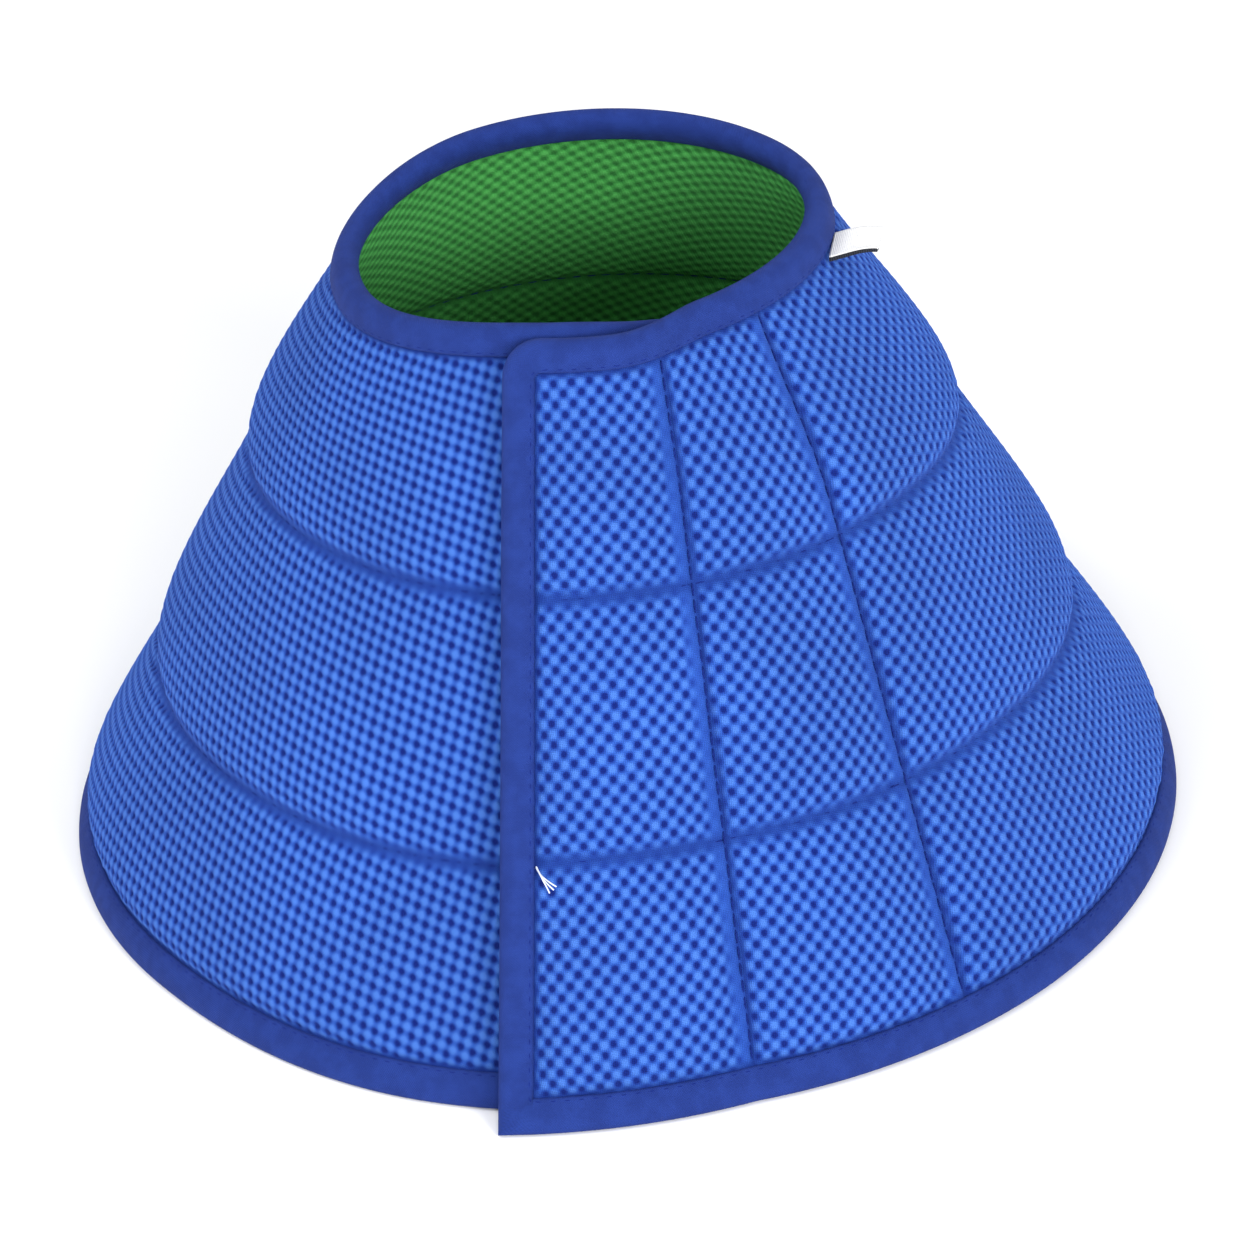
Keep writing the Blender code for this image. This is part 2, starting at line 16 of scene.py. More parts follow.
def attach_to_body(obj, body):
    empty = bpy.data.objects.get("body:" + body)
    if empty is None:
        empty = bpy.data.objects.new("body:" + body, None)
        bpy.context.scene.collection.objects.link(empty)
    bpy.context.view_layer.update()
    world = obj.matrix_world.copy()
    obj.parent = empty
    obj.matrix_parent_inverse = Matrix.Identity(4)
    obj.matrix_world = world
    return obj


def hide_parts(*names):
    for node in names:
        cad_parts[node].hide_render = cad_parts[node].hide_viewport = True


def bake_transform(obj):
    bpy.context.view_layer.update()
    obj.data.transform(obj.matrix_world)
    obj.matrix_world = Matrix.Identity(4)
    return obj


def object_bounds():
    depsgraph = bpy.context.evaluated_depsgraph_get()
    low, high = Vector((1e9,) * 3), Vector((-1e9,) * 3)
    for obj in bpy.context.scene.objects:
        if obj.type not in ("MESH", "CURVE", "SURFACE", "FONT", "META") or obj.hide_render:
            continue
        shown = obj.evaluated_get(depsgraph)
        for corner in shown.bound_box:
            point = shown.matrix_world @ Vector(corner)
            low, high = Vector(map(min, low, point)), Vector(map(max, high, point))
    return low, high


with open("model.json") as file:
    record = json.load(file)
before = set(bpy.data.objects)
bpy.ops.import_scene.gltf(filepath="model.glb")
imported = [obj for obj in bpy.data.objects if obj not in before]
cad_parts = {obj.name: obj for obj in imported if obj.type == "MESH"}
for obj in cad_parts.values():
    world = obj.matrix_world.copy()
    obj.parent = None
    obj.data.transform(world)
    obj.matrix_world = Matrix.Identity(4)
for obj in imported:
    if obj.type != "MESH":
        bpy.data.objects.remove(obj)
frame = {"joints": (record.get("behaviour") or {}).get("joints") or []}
CAD_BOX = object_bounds()
MM = 0.001

# Cone and lines of the sheet, as in the CAD model.
NECK_RADIUS = 46.0
RIM_RADIUS = 116.0
CONE_HEIGHT = 142.0
SLANT_LENGTH = math.hypot(RIM_RADIUS - NECK_RADIUS, CONE_HEIGHT)
SIN_CONE = (RIM_RADIUS - NECK_RADIUS) / SLANT_LENGTH
COS_CONE = CONE_HEIGHT / SLANT_LENGTH
TAN_CONE = SIN_CONE / COS_CONE
FLAP_EDGE = (-19.5, -13.0)
EDGE_SEAM = (15.6, 11.2)
INNER_SEAM = (45.0, 34.4)
WING_HINGE = (150.0, 150.0)
UNDERLAP_END = (390.0, 390.0)
RADIAL_SEAMS = (EDGE_SEAM, INNER_SEAM)
FREE_ENDS = (FLAP_EDGE, UNDERLAP_END)
FLAP_STANDOFF = 6.8
STANDOFF_START_TURN = 45.0
UNDERLAP_START_TURN = 340.0
WING_AXIS_NORMAL = 3.5

# Flare of the flap's lower corner, and of the underlap beneath it.
CORNER_FLARE = 6.2
CORNER_FLARE_POWER = 1.5
UNDERLAP_FLARE = 4.6
UNDERLAP_FLARE_POWER = 2.5
UNDERLAP_FLARE_TURNS = (302.0, 342.0)

# The neck of soft cloth is uneven. DRAW pulls it in, DROP and SINK lower it, TIGHT narrows it from side
# to side and LEAN moves it over. Each fades out over its REACH down the cloth.
NECK_DRAW = 0.92
NECK_DRAW_FLAP = 0.12
NECK_DRAW_START = (5.0, 30.0)
NECK_DRAW_END = (35.0, 125.0)
NECK_DRAW_REACH = 45.0
UNDERLAP_DRAW = 5.0
UNDERLAP_DRAW_TURNS = (350.0, 382.0)
NECK_DROP = 5.0
NECK_DROP_START = (205.0, 265.0)
NECK_DROP_END = (285.0, 352.0)
NECK_DROP_REACH = 55.0
NECK_TIGHT = 1.7
NECK_TIGHT_REACH = 60.0
NECK_LEAN = (1.6, 1.9)
NECK_SINK = 4.5
SINK_TURNS = (352.0, 384.0)
SINK_REACH = 50.0

# Layers of the cloth, and how the bands swell between the seams.
HALF_LAYER_GAP = 0.15
MESH_TOP = 1.35
MESH_THICKNESS = 0.55
LINING_BOTTOM = -1.15
OUTER_BULGE = 2.3
INNER_BULGE = 1.5
HIDDEN_OUTER_BULGE = 0.45
FLAP_INNER_BULGE = 0.25
PRESSED_FADE = 16.0
FREE_FADE = 18.0
BAND_START = 7.5
BAND_RISE = 2.2
BAND_FALLS = (12.0, 12.0, 20.0)
BAND_PEAKS = (0.88, 0.88, 0.74)
FREE_END_SWELL = (9.0, 2.4)
SEAM_FAR_SWELL = (10.0, 2.4)
SEAM_NEAR_SWELL = (14.0, 2.2)
SEAM_PINCH = 0.85
SEAM_PINCH_REACH = 1.7
FOLD_WIDTH = 2.7
FOLD_LIFT = 0.35
GATHER_HEIGHTS = (0.2, 0.14)
GATHER_REACH = 4.5
DENT_HEIGHT = 0.4

# Height of the two ring seams as a share of the slant, on the flap, the sides and the underlap.
FLAP_RING_SHARES = (0.329, 0.661)
SIDE_RING_SHARES = (0.364, 0.703)
UNDERLAP_RING_SHARES = (0.352, 0.697)
SIDE_RING_TURNS = (39.0, 105.0)
UNDERLAP_RING_TURNS = (245.0, 315.0)

# Wadding inside the bands: slants of the bands, what it stays short of, and the size of its faces.
WADDING_EDGES = (BAND_START, SLANT_LENGTH * 0.35, SLANT_LENGTH * 0.685, SLANT_LENGTH - BAND_START)
WADDING_MARGIN = 0.22
WADDING_TOP_GAP = 0.7
WADDING_BOTTOM_GAP = 0.45
WADDING_STEP = 4.0

# Binding tape and closure strips. The crown is the outline of the tape's outer face, as depth in from
# the edge and lift from the tape's top.
TAPE_WIDTH = 7.0
TAPE_TOP = 2.45
TAPE_BOTTOM = -2.25
TAPE_FOLD = 1.8
TAPE_STEP = 1.5
CORNER_STATIONS = 12
END_STATIONS = 96
TAPE_CROWN = ((7.0, -0.95), (6.95, -0.6), (6.7, -0.3), (6.3, -0.16), (5.9, -0.02), (5.2, 0.18), (4.3, 0.34),
              (3.4, 0.42), (2.5, 0.36), (1.7, 0.12), (1.05, -0.26), (0.5, -0.8), (0.15, -1.5))
CORNER_RADIUS = 8.5
CLOSURE_SLANTS = (18.0, 138.0)
CLOSURE_THICKNESS = 0.8
CLOSURE_STEP = 1.5
LOOP_SPAN = ((352.0, 352.0), (381.0, 381.0))
LOOP_NORMAL = 2.25

# Stitches. Rows across one stitch give its place along it, its thickness and its lift as shares of the
# half length and the radius. A size is a length and a radius.
STITCH_SIDES = 6
STITCH_ROWS = ((-1.0, 0.35, -0.9), (-0.7, 0.85, -0.2), (-0.25, 1.0, 0.12), (0.25, 1.0, 0.12),
               (0.7, 0.85, -0.2), (1.0, 0.35, -0.9))
STITCH_PITCH = 3.4
STITCH_SIZE = (2.8, 0.2)
RING_STITCH_NORMALS = (MESH_TOP - 0.1, LINING_BOTTOM + 0.02)
RADIAL_STITCH_NORMALS = (MESH_TOP - 0.2, LINING_BOTTOM - 0.05)
TAPE_STITCH_DEPTH = 6.3
TAPE_STITCH_PITCH = 2.9
TAPE_STITCH_SIZE = (2.3, 0.17)
TAPE_STITCH_INSET = 0.3

# Label, and the loose thread as strands of (in from the flap's edge, past the seam, above the cloth).
LABEL_TURN = 80.0
LABEL_SLANT = 7.8
LABEL_NORMAL = 2.35
LABEL_WIDTH = 11.0
LABEL_LENGTH = 9.8
LABEL_ROOT = 0.6
LABEL_TILT = 8.0
LABEL_ARCH = 0.6
LABEL_CURL = 0.9
THREAD_RADIUS = 0.16
THREAD_STRANDS = (
    ((7.4, 0.6, 0.1), (7.9, 1.4, 0.7), (8.8, 2.9, 1.2), (10.0, 4.2, 1.2), (11.0, 5.2, 0.8)),
    ((7.4, 0.8, 0.1), (8.1, 1.7, 0.9), (8.9, 3.1, 1.5), (9.7, 4.6, 1.3), (10.2, 5.8, 0.9)),
    ((7.5, 0.7, 0.1), (8.0, 1.9, 0.6), (9.0, 2.8, 0.9), (10.4, 3.9, 0.8), (11.5, 4.6, 0.6)))

# Cloth lattice: one cell of the knit's hole pattern, laid straight on the flat pattern.
CELL_ACROSS = 3.5
CELL_DOWN = 4.2
YARN_PITCH = 0.72
PATTERN_RADIUS = 51.0
PATTERN_MARGIN = 4.0
PATTERN_CUT_ANGLE = -30.0
PATTERN_WIDEST_TURN = 90.0
CELL_STEPS = 4
PATTERN_TURN = 5.0
CLOTH_INSET = 3.2
LATTICE_RELIEF = 0.1
HOLE_DEPTH = 0.5

# Lines at which the cloth is split into pieces, clear of every hinge.
FLAP_BORDER = (30.3, 22.8)
WING_BORDER = (95.0, 95.0)
BACK_BORDER = (195.0, 195.0)

# Camera: where it looks from, and how far off the picture's centre the collar stands.
CAMERA_ELEVATION = 29.8
CAMERA_ROLL = 4.33
CAMERA_DISTANCE = 1.3087
CAMERA_LENS = 175.0
CAMERA_SENSOR = 36.0
CAMERA_CLIP = (0.05, 50.0)
CAMERA_TARGET = Vector((0.0, 0.0, 0.070))
FRAME_OFFSET = (0.00574, -0.0220)

# Each light: name, place, what it is aimed at, size, power and colour.
LIGHTS = (
    ("key", (0.9, -1.6, 0.85), (0.0, 0.0, 0.06), 0.7, 25.0, (1.0, 0.995, 0.98)),
    ("fill", (-1.2, -0.5, 1.35), (0.0, 0.0, 0.08), 1.2, 14.0, (0.97, 0.98, 1.0)),
    ("front", (0.1, -1.7, 0.72), (0.0, 0.02, 0.11), 0.4, 11.0, (1.0, 1.0, 1.0)),
)
WORLD_COLOUR = (0.97, 0.98, 1.0, 1.0)
WORLD_STRENGTH = 0.8
FLOOR_HALF = 6.0
FLOOR_DROP = 0.0002

# Each segment of the cloth: its two border lines, the CAD panels it stands for, and how it moves.
SEGMENTS = (
    {"name": "flap_edge", "span": (FLAP_EDGE, FLAP_BORDER), "panels": ("flap_edge", "flap_inner"),
     "bodies": ("flap_inner", "flap_edge"), "joint": "flap_edge_hinge", "line": EDGE_SEAM, "zone": 8.0},
    {"name": "flap_root", "span": (FLAP_BORDER, WING_BORDER), "panels": ("flap_inner", "right"),
     "bodies": ("right_wing", "flap_inner"), "joint": "flap_inner_hinge", "line": INNER_SEAM, "zone": 8.0},
    {"name": "wing", "span": (WING_BORDER, BACK_BORDER), "panels": ("right", "back"),
     "bodies": ("back", "right_wing"), "joint": "right_wing_hinge", "line": WING_HINGE, "zone": 12.0},
    {"name": "back", "span": (BACK_BORDER, UNDERLAP_END), "panels": ("back",), "bodies": ("back",)},
)


# ---- Geometry of the sheet, on whole arrays of points ----

def smooth(start, end, value):
    """Smooth step from 0 at start to 1 at end."""
    share = np.clip((value - start) / (end - start), 0.0, 1.0)
    return share * share * (3.0 - 2.0 * share)


def line_turn(line, slant):
    """Turn of a straight line down the cloth, at a slant."""
    twist = math.radians(line[1] - line[0])
    share = np.asarray(slant, float) / SLANT_LENGTH
    near = (1.0 - share) * NECK_RADIUS
    far = share * RIM_RADIUS
    return line[0] + np.degrees(np.arctan2(far * math.sin(twist), near + far * math.cos(twist)))


def standoff(turn, slant):
    """Distance outside the base cone: the neck edge is drawn in, and the underlap's end inside it."""
    share = (UNDERLAP_START_TURN - turn) / (UNDERLAP_START_TURN - STANDOFF_START_TURN)
    near_neck = 1.0 - smooth(0.0, NECK_DRAW_REACH, slant)
    drawn = NECK_DRAW_FLAP + (NECK_DRAW - NECK_DRAW_FLAP) * smooth(*NECK_DRAW_START, turn)
    drawn = drawn * (1.0 - smooth(*NECK_DRAW_END, turn)) * near_neck
    under = UNDERLAP_DRAW * smooth(*UNDERLAP_DRAW_TURNS, turn) * near_neck
    return FLAP_STANDOFF * np.clip(share, 0.0, 1.0) * (1.0 - drawn) - under


def corner_flare(turn, slant):
    """Extra radius round the flap's lower corner and of the cloth beside and under it."""
    down = np.maximum(slant / SLANT_LENGTH, 0.0)
    seam = line_turn(EDGE_SEAM, slant)
    edge = line_turn(FLAP_EDGE, slant)
    corner = CORNER_FLARE * np.maximum((seam - turn) / (seam - edge), 0.0) * down ** CORNER_FLARE_POWER
    under_flap = np.clip((seam + 360.0 - turn) / (seam - edge), 0.0, 1.0)
    under = UNDERLAP_FLARE * smooth(*UNDERLAP_FLARE_TURNS, turn) * under_flap * down ** UNDERLAP_FLARE_POWER
    return corner + under


def neck_sink(turn, slant):
    """How far the cloth has slipped down at the neck: on the left, and at the underlap's hidden end."""
    hidden = NECK_SINK * smooth(*SINK_TURNS, turn) * (1.0 - smooth(0.0, SINK_REACH, slant))
    left = NECK_DROP * smooth(*NECK_DROP_START, turn) * (1.0 - smooth(*NECK_DROP_END, turn))
    return hidden + left * (1.0 - smooth(0.0, NECK_DROP_REACH, slant)) / COS_CONE


def sheet_radius(turn, slant):
    """Distance from the cone's axis to the sheet."""
    return NECK_RADIUS + slant * SIN_CONE + standoff(turn, slant) / COS_CONE


def unshifted_point(turn, slant, normal):
    """Point of the sheet round the cone's own axis, in metres."""
    turn, slant, normal = np.broadcast_arrays(np.asarray(turn, float), np.asarray(slant, float), normal)
    slant = slant + neck_sink(turn, slant)
    angle = np.radians(turn)
    tight = NECK_TIGHT * np.sin(angle) ** 2 * (1.0 - smooth(0.0, NECK_TIGHT_REACH, slant))
    radius = sheet_radius(turn, slant) + corner_flare(turn, slant) - tight
    radius = radius + normal * COS_CONE
    height = CONE_HEIGHT - slant * COS_CONE + normal * SIN_CONE
    lean = 1.0 - slant / SLANT_LENGTH
    across = np.sin(angle) * radius + NECK_LEAN[0] * lean
    along = -np.cos(angle) * radius + NECK_LEAN[1] * lean
    return np.stack([across, along, height], axis=-1) * MM


def joint_named(name):
    for joint in frame["joints"]:
        if joint["name"] == name:
            return joint
    raise SystemExit("the frame has no joint " + name)


def frame_shift():
    """How far the CAD model's cone stands off the origin, read from one of its hinges."""
    turn = math.radians(WING_HINGE[0])
    share = (UNDERLAP_START_TURN - WING_HINGE[0]) / (UNDERLAP_START_TURN - STANDOFF_START_TURN)
    radius = (0.5 * (NECK_RADIUS + RIM_RADIUS) + FLAP_STANDOFF * share / COS_CONE
              + WING_AXIS_NORMAL * COS_CONE)
    middle = np.array([math.sin(turn) * radius, -math.cos(turn) * radius,
                       0.5 * CONE_HEIGHT + WING_AXIS_NORMAL * SIN_CONE]) * MM
    return np.array(joint_named("right_wing_hinge")["pos_m"]) - middle


SHIFT = frame_shift()


def sheet_point(turn, slant, normal):
    """Point of the sheet in the CAD model's frame, in metres."""
    return unshifted_point(turn, slant, normal) + SHIFT


def outward_at(turn):
    """Unit vector out of the cone."""
    angle = np.radians(np.asarray(turn, float))
    return np.stack([np.sin(angle) * COS_CONE, -np.cos(angle) * COS_CONE, 0.0 * angle + SIN_CONE], axis=-1)


def turn_for(distance, turn, slant):
    """Change of turn that covers a distance round the sheet."""
    return np.degrees(distance / sheet_radius(turn, slant))


def ring_slant(ring, turn):
    """Slant of a ring seam, which lies a little higher on the flap than on the sides."""
    side = smooth(*SIDE_RING_TURNS, turn)
    under = smooth(*UNDERLAP_RING_TURNS, turn)
    share = FLAP_RING_SHARES[ring] + (SIDE_RING_SHARES[ring] - FLAP_RING_SHARES[ring]) * side
    return SLANT_LENGTH * (share + (UNDERLAP_RING_SHARES[ring] - SIDE_RING_SHARES[ring]) * under)


def ring_distance(turn, slant):
    """Distance to the nearest ring seam."""
    return np.minimum(np.abs(slant - ring_slant(0, turn)), np.abs(slant - ring_slant(1, turn)))


def signed_distance(line, turn, slant):
    """Distance from a line down the cloth, positive towards larger turns."""
    return np.radians(turn - line_turn(line, slant)) * sheet_radius(turn, slant)


def distance_from(line, turn, slant):
    return np.abs(signed_distance(line, turn, slant))


def band_edges(turn):
    """Slants of the bands' edges: tape, two ring seams and tape."""
    return (BAND_START + 0.0 * turn, ring_slant(0, turn), ring_slant(1, turn),
            SLANT_LENGTH - BAND_START + 0.0 * turn)


def band_profile(turn, slant):
    """Swelling of the bands: a slow rise below each seam and a full round fall onto the next."""
    swell = np.zeros_like(slant)
    edges = band_edges(turn)
    for low, high, fall, peak in zip(edges, edges[1:], BAND_FALLS, BAND_PEAKS):
        share = np.clip((slant - low) / (high - low), 0.0, 1.0)
        shape = (1.0 - (1.0 - share) ** BAND_RISE) * (1.0 - share ** fall) / peak
        swell = np.where((slant >= low) & (slant <= high), shape, swell)
    return swell


def swell_from(distance, reach, roundness):
    """Swelling that grows from 0 at a line to 1 at reach."""
    return 1.0 - (1.0 - np.clip(distance / reach, 0.0, 1.0)) ** roundness


def side_profile(turn, slant):
    """Swelling away from the lines down the cloth: quick on the far side of a seam, slow past its fold."""
    swell = np.ones_like(slant)
    for line in FREE_ENDS:
        swell = swell * swell_from(distance_from(line, turn, slant) - BAND_START, *FREE_END_SWELL)
    for line in RADIAL_SEAMS:
        across = signed_distance(line, turn, slant)
        far = swell_from(across, *SEAM_FAR_SWELL)
        near = swell_from(-across - FOLD_WIDTH, *SEAM_NEAR_SWELL)
        swell = swell * np.where(across > 0.0, far, near)
    return swell


def seam_shape(turn, slant):
    """Height added beside the stitching: pinched ring seams, and a flat fold beside each line."""
    height = -SEAM_PINCH * np.exp(-(ring_distance(turn, slant) / SEAM_PINCH_REACH) ** 2)
    for line in RADIAL_SEAMS:
        across = signed_distance(line, turn, slant)
        crease = -SEAM_PINCH * np.exp(-((across - 0.4) / 0.8) ** 2)
        fold = FOLD_LIFT * smooth(0.0, 0.7, -across) * (1.0 - smooth(FOLD_WIDTH, FOLD_WIDTH + 1.2, -across))
        height = np.minimum(height, crease) + fold
    tape = np.minimum(slant - TAPE_WIDTH, SLANT_LENGTH - TAPE_WIDTH - slant)
    return height * smooth(-1.0, 1.5, tape)


def outer_bulge(turn, slant):
    """How far the bands stand out: less where the flap presses on the underlap."""
    pressed = smooth(UNDERLAP_START_TURN - PRESSED_FADE, UNDERLAP_START_TURN, turn)
    share = 1.0 - (1.0 - HIDDEN_OUTER_BULGE) * pressed
    return OUTER_BULGE * share * band_profile(turn, slant) * side_profile(turn, slant)


def inner_bulge(turn, slant):
    """How far the bands stand in: less on the flap, which lies on the underlap."""
    free = smooth(STANDOFF_START_TURN, STANDOFF_START_TURN + FREE_FADE, turn)
    share = FLAP_INNER_BULGE + (1.0 - FLAP_INNER_BULGE) * free
    return INNER_BULGE * share * band_profile(turn, slant) * side_profile(turn, slant)


def tape_distance(turn, slant):
    """Distance to the nearest edge of the binding tape."""
    distances = [slant - TAPE_WIDTH, SLANT_LENGTH - TAPE_WIDTH - slant]
    distances += [distance_from(line, turn, slant) - TAPE_WIDTH for line in FREE_ENDS]
    return np.maximum(np.min(distances, axis=0), 0.0)


def openness(turn, slant):
    """How open the knit's holes are, from 0 to 1: closed up beside the stitching."""
    opened = 0.15 + 0.85 * smooth(0.5, 2.8, ring_distance(turn, slant))
    opened = opened * smooth(0.0, 0.9, tape_distance(turn, slant))
    for line in RADIAL_SEAMS:
        across = signed_distance(line, turn, slant)
        far = smooth(0.4, 1.6, across)
        near = 0.08 + 0.92 * smooth(FOLD_WIDTH - 1.2, FOLD_WIDTH + 1.4, -across)
        opened = opened * np.where(across > 0.0, far, near)
    return opened


def painted_crease_shade(turn, slant):
    """Strength of the painted shade in the creases, from 0 to 1: at the ring seams, along the edges of the
    tape and beside the radial seams.
    """
    depth = 0.6 * np.exp(-(ring_distance(turn, slant) / 1.3) ** 2)
    depth = np.maximum(depth, 0.9 * np.exp(-(tape_distance(turn, slant) / 0.9) ** 2))
    for line in RADIAL_SEAMS:
        across = signed_distance(line, turn, slant)
        depth = np.maximum(depth, 0.8 * np.exp(-((across - 0.5) / 0.7) ** 2))
    return depth


def seam_distance(turn, slant):
    """Distance to the nearest stitching or edge of the tape."""
    distances = [ring_distance(turn, slant), tape_distance(turn, slant)]
    distances += [distance_from(line, turn, slant) for line in RADIAL_SEAMS]
    return np.min(distances, axis=0)


def puckers(turn, slant):
    """Small gathers that run away from the stitching, and slow dents of soft cloth."""
    distance = seam_distance(turn, slant)
    along = np.radians(turn) * sheet_radius(turn, slant)
    fade = np.exp(-distance / GATHER_REACH) * smooth(0.0, 1.6, distance)
    gathers = (GATHER_HEIGHTS[0] * np.sin(along * 0.74 + 2.0 * np.sin(turn * 0.11))
               + GATHER_HEIGHTS[1] * np.sin(along * 1.31 + slant * 0.2))
    dents = DENT_HEIGHT * np.sin(turn * 0.097 + slant * 0.043) * np.sin(slant * 0.071 - turn * 0.053)
    return gathers * fade + dents * smooth(0.0, 12.0, distance)


# ---- Meshes ----

def mesh_from_arrays(name, points, quads):
    mesh = bpy.data.meshes.new(name)
    mesh.vertices.add(len(points))
    mesh.vertices.foreach_set("co", np.ascontiguousarray(points, dtype=np.float32).ravel())
    mesh.loops.add(quads.size)
    mesh.loops.foreach_set("vertex_index", np.ascontiguousarray(quads, dtype=np.int32).ravel())
    mesh.polygons.add(len(quads))
    mesh.polygons.foreach_set("loop_start", np.arange(0, quads.size, 4, dtype=np.int32))
    mesh.update(calc_edges=True)
    mesh.validate()
    mesh.polygons.foreach_set("use_smooth", np.ones(len(mesh.polygons), dtype=bool))
    return mesh


def add_piece(name, mesh, material):
    mesh.materials.append(material)
    piece = bpy.data.objects.new(name, mesh)
    bpy.context.scene.collection.objects.link(piece)
    return piece


def shell_quads(quads, count):
    """Quads of a closed shell: the given top, the same below with indices past count, and walls between."""
    edges = np.concatenate([quads[:, [side, (side + 1) % 4]] for side in range(4)])
    keys = np.sort(edges, axis=1)
    keys = keys[:, 0] * count + keys[:, 1]
    _, first, uses = np.unique(keys, return_index=True, return_counts=True)
    border = edges[first[uses == 1]]
    walls = np.stack([border[:, 1], border[:, 0], border[:, 0] + count, border[:, 1] + count], axis=1)
    return np.concatenate([quads, quads[:, ::-1] + count, walls])


def grid_quads(rows, columns, wrap=False):
    """Quads of a grid of points, row by row; wrap joins the last column to the first."""
    row, column = np.meshgrid(np.arange(rows - 1), np.arange(columns if wrap else columns - 1), indexing="ij")
    after = (column + 1) % columns
    corners = [row * columns + column, row * columns + after,
               (row + 1) * columns + after, (row + 1) * columns + column]
    return np.stack([corner.ravel() for corner in corners], axis=1)


def turned_out(quads, points, outward):
    """The quads, turned over where their faces would look into the cone."""
    corner = points[quads]
    facing = np.cross(corner[:, 1] - corner[:, 0], corner[:, 2] - corner[:, 0])
    return quads[:, ::-1] if np.sum(facing * outward[quads[:, 0]]) < 0 else quads


def fix_facing(mesh):
    """Turn every face outwards."""
    work = bmesh.new()
    work.from_mesh(mesh)
    bmesh.ops.recalc_face_normals(work, faces=work.faces)
    work.to_mesh(mesh)
    work.free()


def set_flat(mesh, coordinates):
    """Store the flat-pattern coordinates of the points, in millimetres, as a UV map."""
    layer = mesh.uv_layers.new(name="flat")
    index = np.empty(len(mesh.loops), dtype=np.int32)
    mesh.loops.foreach_get("vertex_index", index)
    layer.data.foreach_set("uv", np.ascontiguousarray(coordinates[index], dtype=np.float32).ravel())


def set_attribute(mesh, name, values):
    layer = mesh.attributes.new(name, "FLOAT", "POINT")
    layer.data.foreach_set("value", np.ascontiguousarray(values, dtype=np.float32))


def shell_mesh(name, top, bottom, quads, flat):
    """Closed shell between two arrays of points, with the same flat coordinates on both faces."""
    mesh = mesh_from_arrays(name, np.concatenate([top, bottom]), shell_quads(quads, len(top)))
    set_flat(mesh, np.concatenate([flat, flat]))
    return mesh


def attach(piece, segment):
    """Attach a piece to its segment's body when the segment has one body; a piece that spans a hinge only has
    its transform baked.
    """
    bodies = segment["bodies"]
    if len(bodies) == 1:
        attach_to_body(piece, bodies[0])
        return
    joint = joint_named(segment["joint"])
    across = np.cross(outward_at(0.5 * sum(segment["line"])), np.array(joint["axis"]))
    across /= np.linalg.norm(across)
    # The first of the two bodies lies towards larger turns.
    angle = math.radians(segment["line"][0])
    if np.dot(across, [math.cos(angle), math.sin(angle), 0.0]) < 0.0:
        across = -across
    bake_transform(piece)


class FlatCloth:
    """Grid of the cloth's flat pattern, aligned with the knit's cells and wrapped onto the cone."""

    def __init__(self):
        start = PATTERN_RADIUS / SIN_CONE
        reach = start + SLANT_LENGTH + PATTERN_MARGIN
        step = (CELL_ACROSS / CELL_STEPS, CELL_DOWN / CELL_STEPS)
        counts = [int(math.ceil(reach / size / CELL_STEPS)) * CELL_STEPS for size in step]
        across, down = [np.arange(-count, count + 1) * size for count, size in zip(counts, step)]
        self.across, self.down = np.meshgrid(across, down, indexing="ij")
        self.slant = np.hypot(self.across, self.down) - start
        angle = np.degrees(np.arctan2(self.across, self.down))
        self.turn = PATTERN_TURN + np.where(angle < PATTERN_CUT_ANGLE, angle + 360.0, angle) / SIN_CONE
        self.lattice = (np.cos(2.0 * np.pi * self.across / CELL_ACROSS)
                        * np.cos(2.0 * np.pi * self.down / CELL_DOWN))
        self.cell_area = step[0] * step[1]
        self.quads = grid_quads(*self.across.shape)
        self.quad_turn = self.turn.ravel()[self.quads].mean(axis=1)
        self.quad_slant = self.slant.ravel()[self.quads].mean(axis=1)
        spread = np.ptp(self.turn.ravel()[self.quads], axis=1)
        inset = turn_for(CLOTH_INSET, self.quad_turn, self.quad_slant)
        self.inside = ((self.quad_slant > CLOTH_INSET) & (self.quad_slant < SLANT_LENGTH - CLOTH_INSET)
                       & (self.quad_turn > line_turn(FLAP_EDGE, self.quad_slant) + inset)
                       & (self.quad_turn < line_turn(UNDERLAP_END, self.quad_slant) - inset)
                       & (spread < PATTERN_WIDEST_TURN) & self.inside_corners())

    def inside_corners(self):
        """True where a quad is inside the rounded top corners of the two free ends."""
        keep = np.ones(len(self.quads), dtype=bool)
        for line in FREE_ENDS:
            away = distance_from(line, self.quad_turn, self.quad_slant)
            beyond = (away < CORNER_RADIUS) & (self.quad_slant < CORNER_RADIUS)
            reach = np.hypot(CORNER_RADIUS - away, CORNER_RADIUS - self.quad_slant)
            keep &= ~(beyond & (reach > CORNER_RADIUS - CLOTH_INSET))
        return keep

    def points(self, normal):
        return sheet_point(self.turn, self.slant, normal)

    def normals(self, points):
        """Unit normals of the wrapped grid, pointing out of the cone."""
        normal = np.cross(np.gradient(points, axis=0), np.gradient(points, axis=1))
        normal /= np.maximum(np.linalg.norm(normal, axis=-1, keepdims=True), 1e-12)
        return normal * np.sign(np.sum(normal * outward_at(self.turn), axis=-1, keepdims=True))

    def segment_quads(self, span):
        """Quads between two border lines; a free end has no quads beyond it to leave out."""
        chosen = self.inside.copy()
        if span[0] != FLAP_EDGE:
            chosen &= self.quad_turn >= line_turn(span[0], self.quad_slant)
        if span[1] != UNDERLAP_END:
            chosen &= self.quad_turn < line_turn(span[1], self.quad_slant)
        return self.quads[chosen]


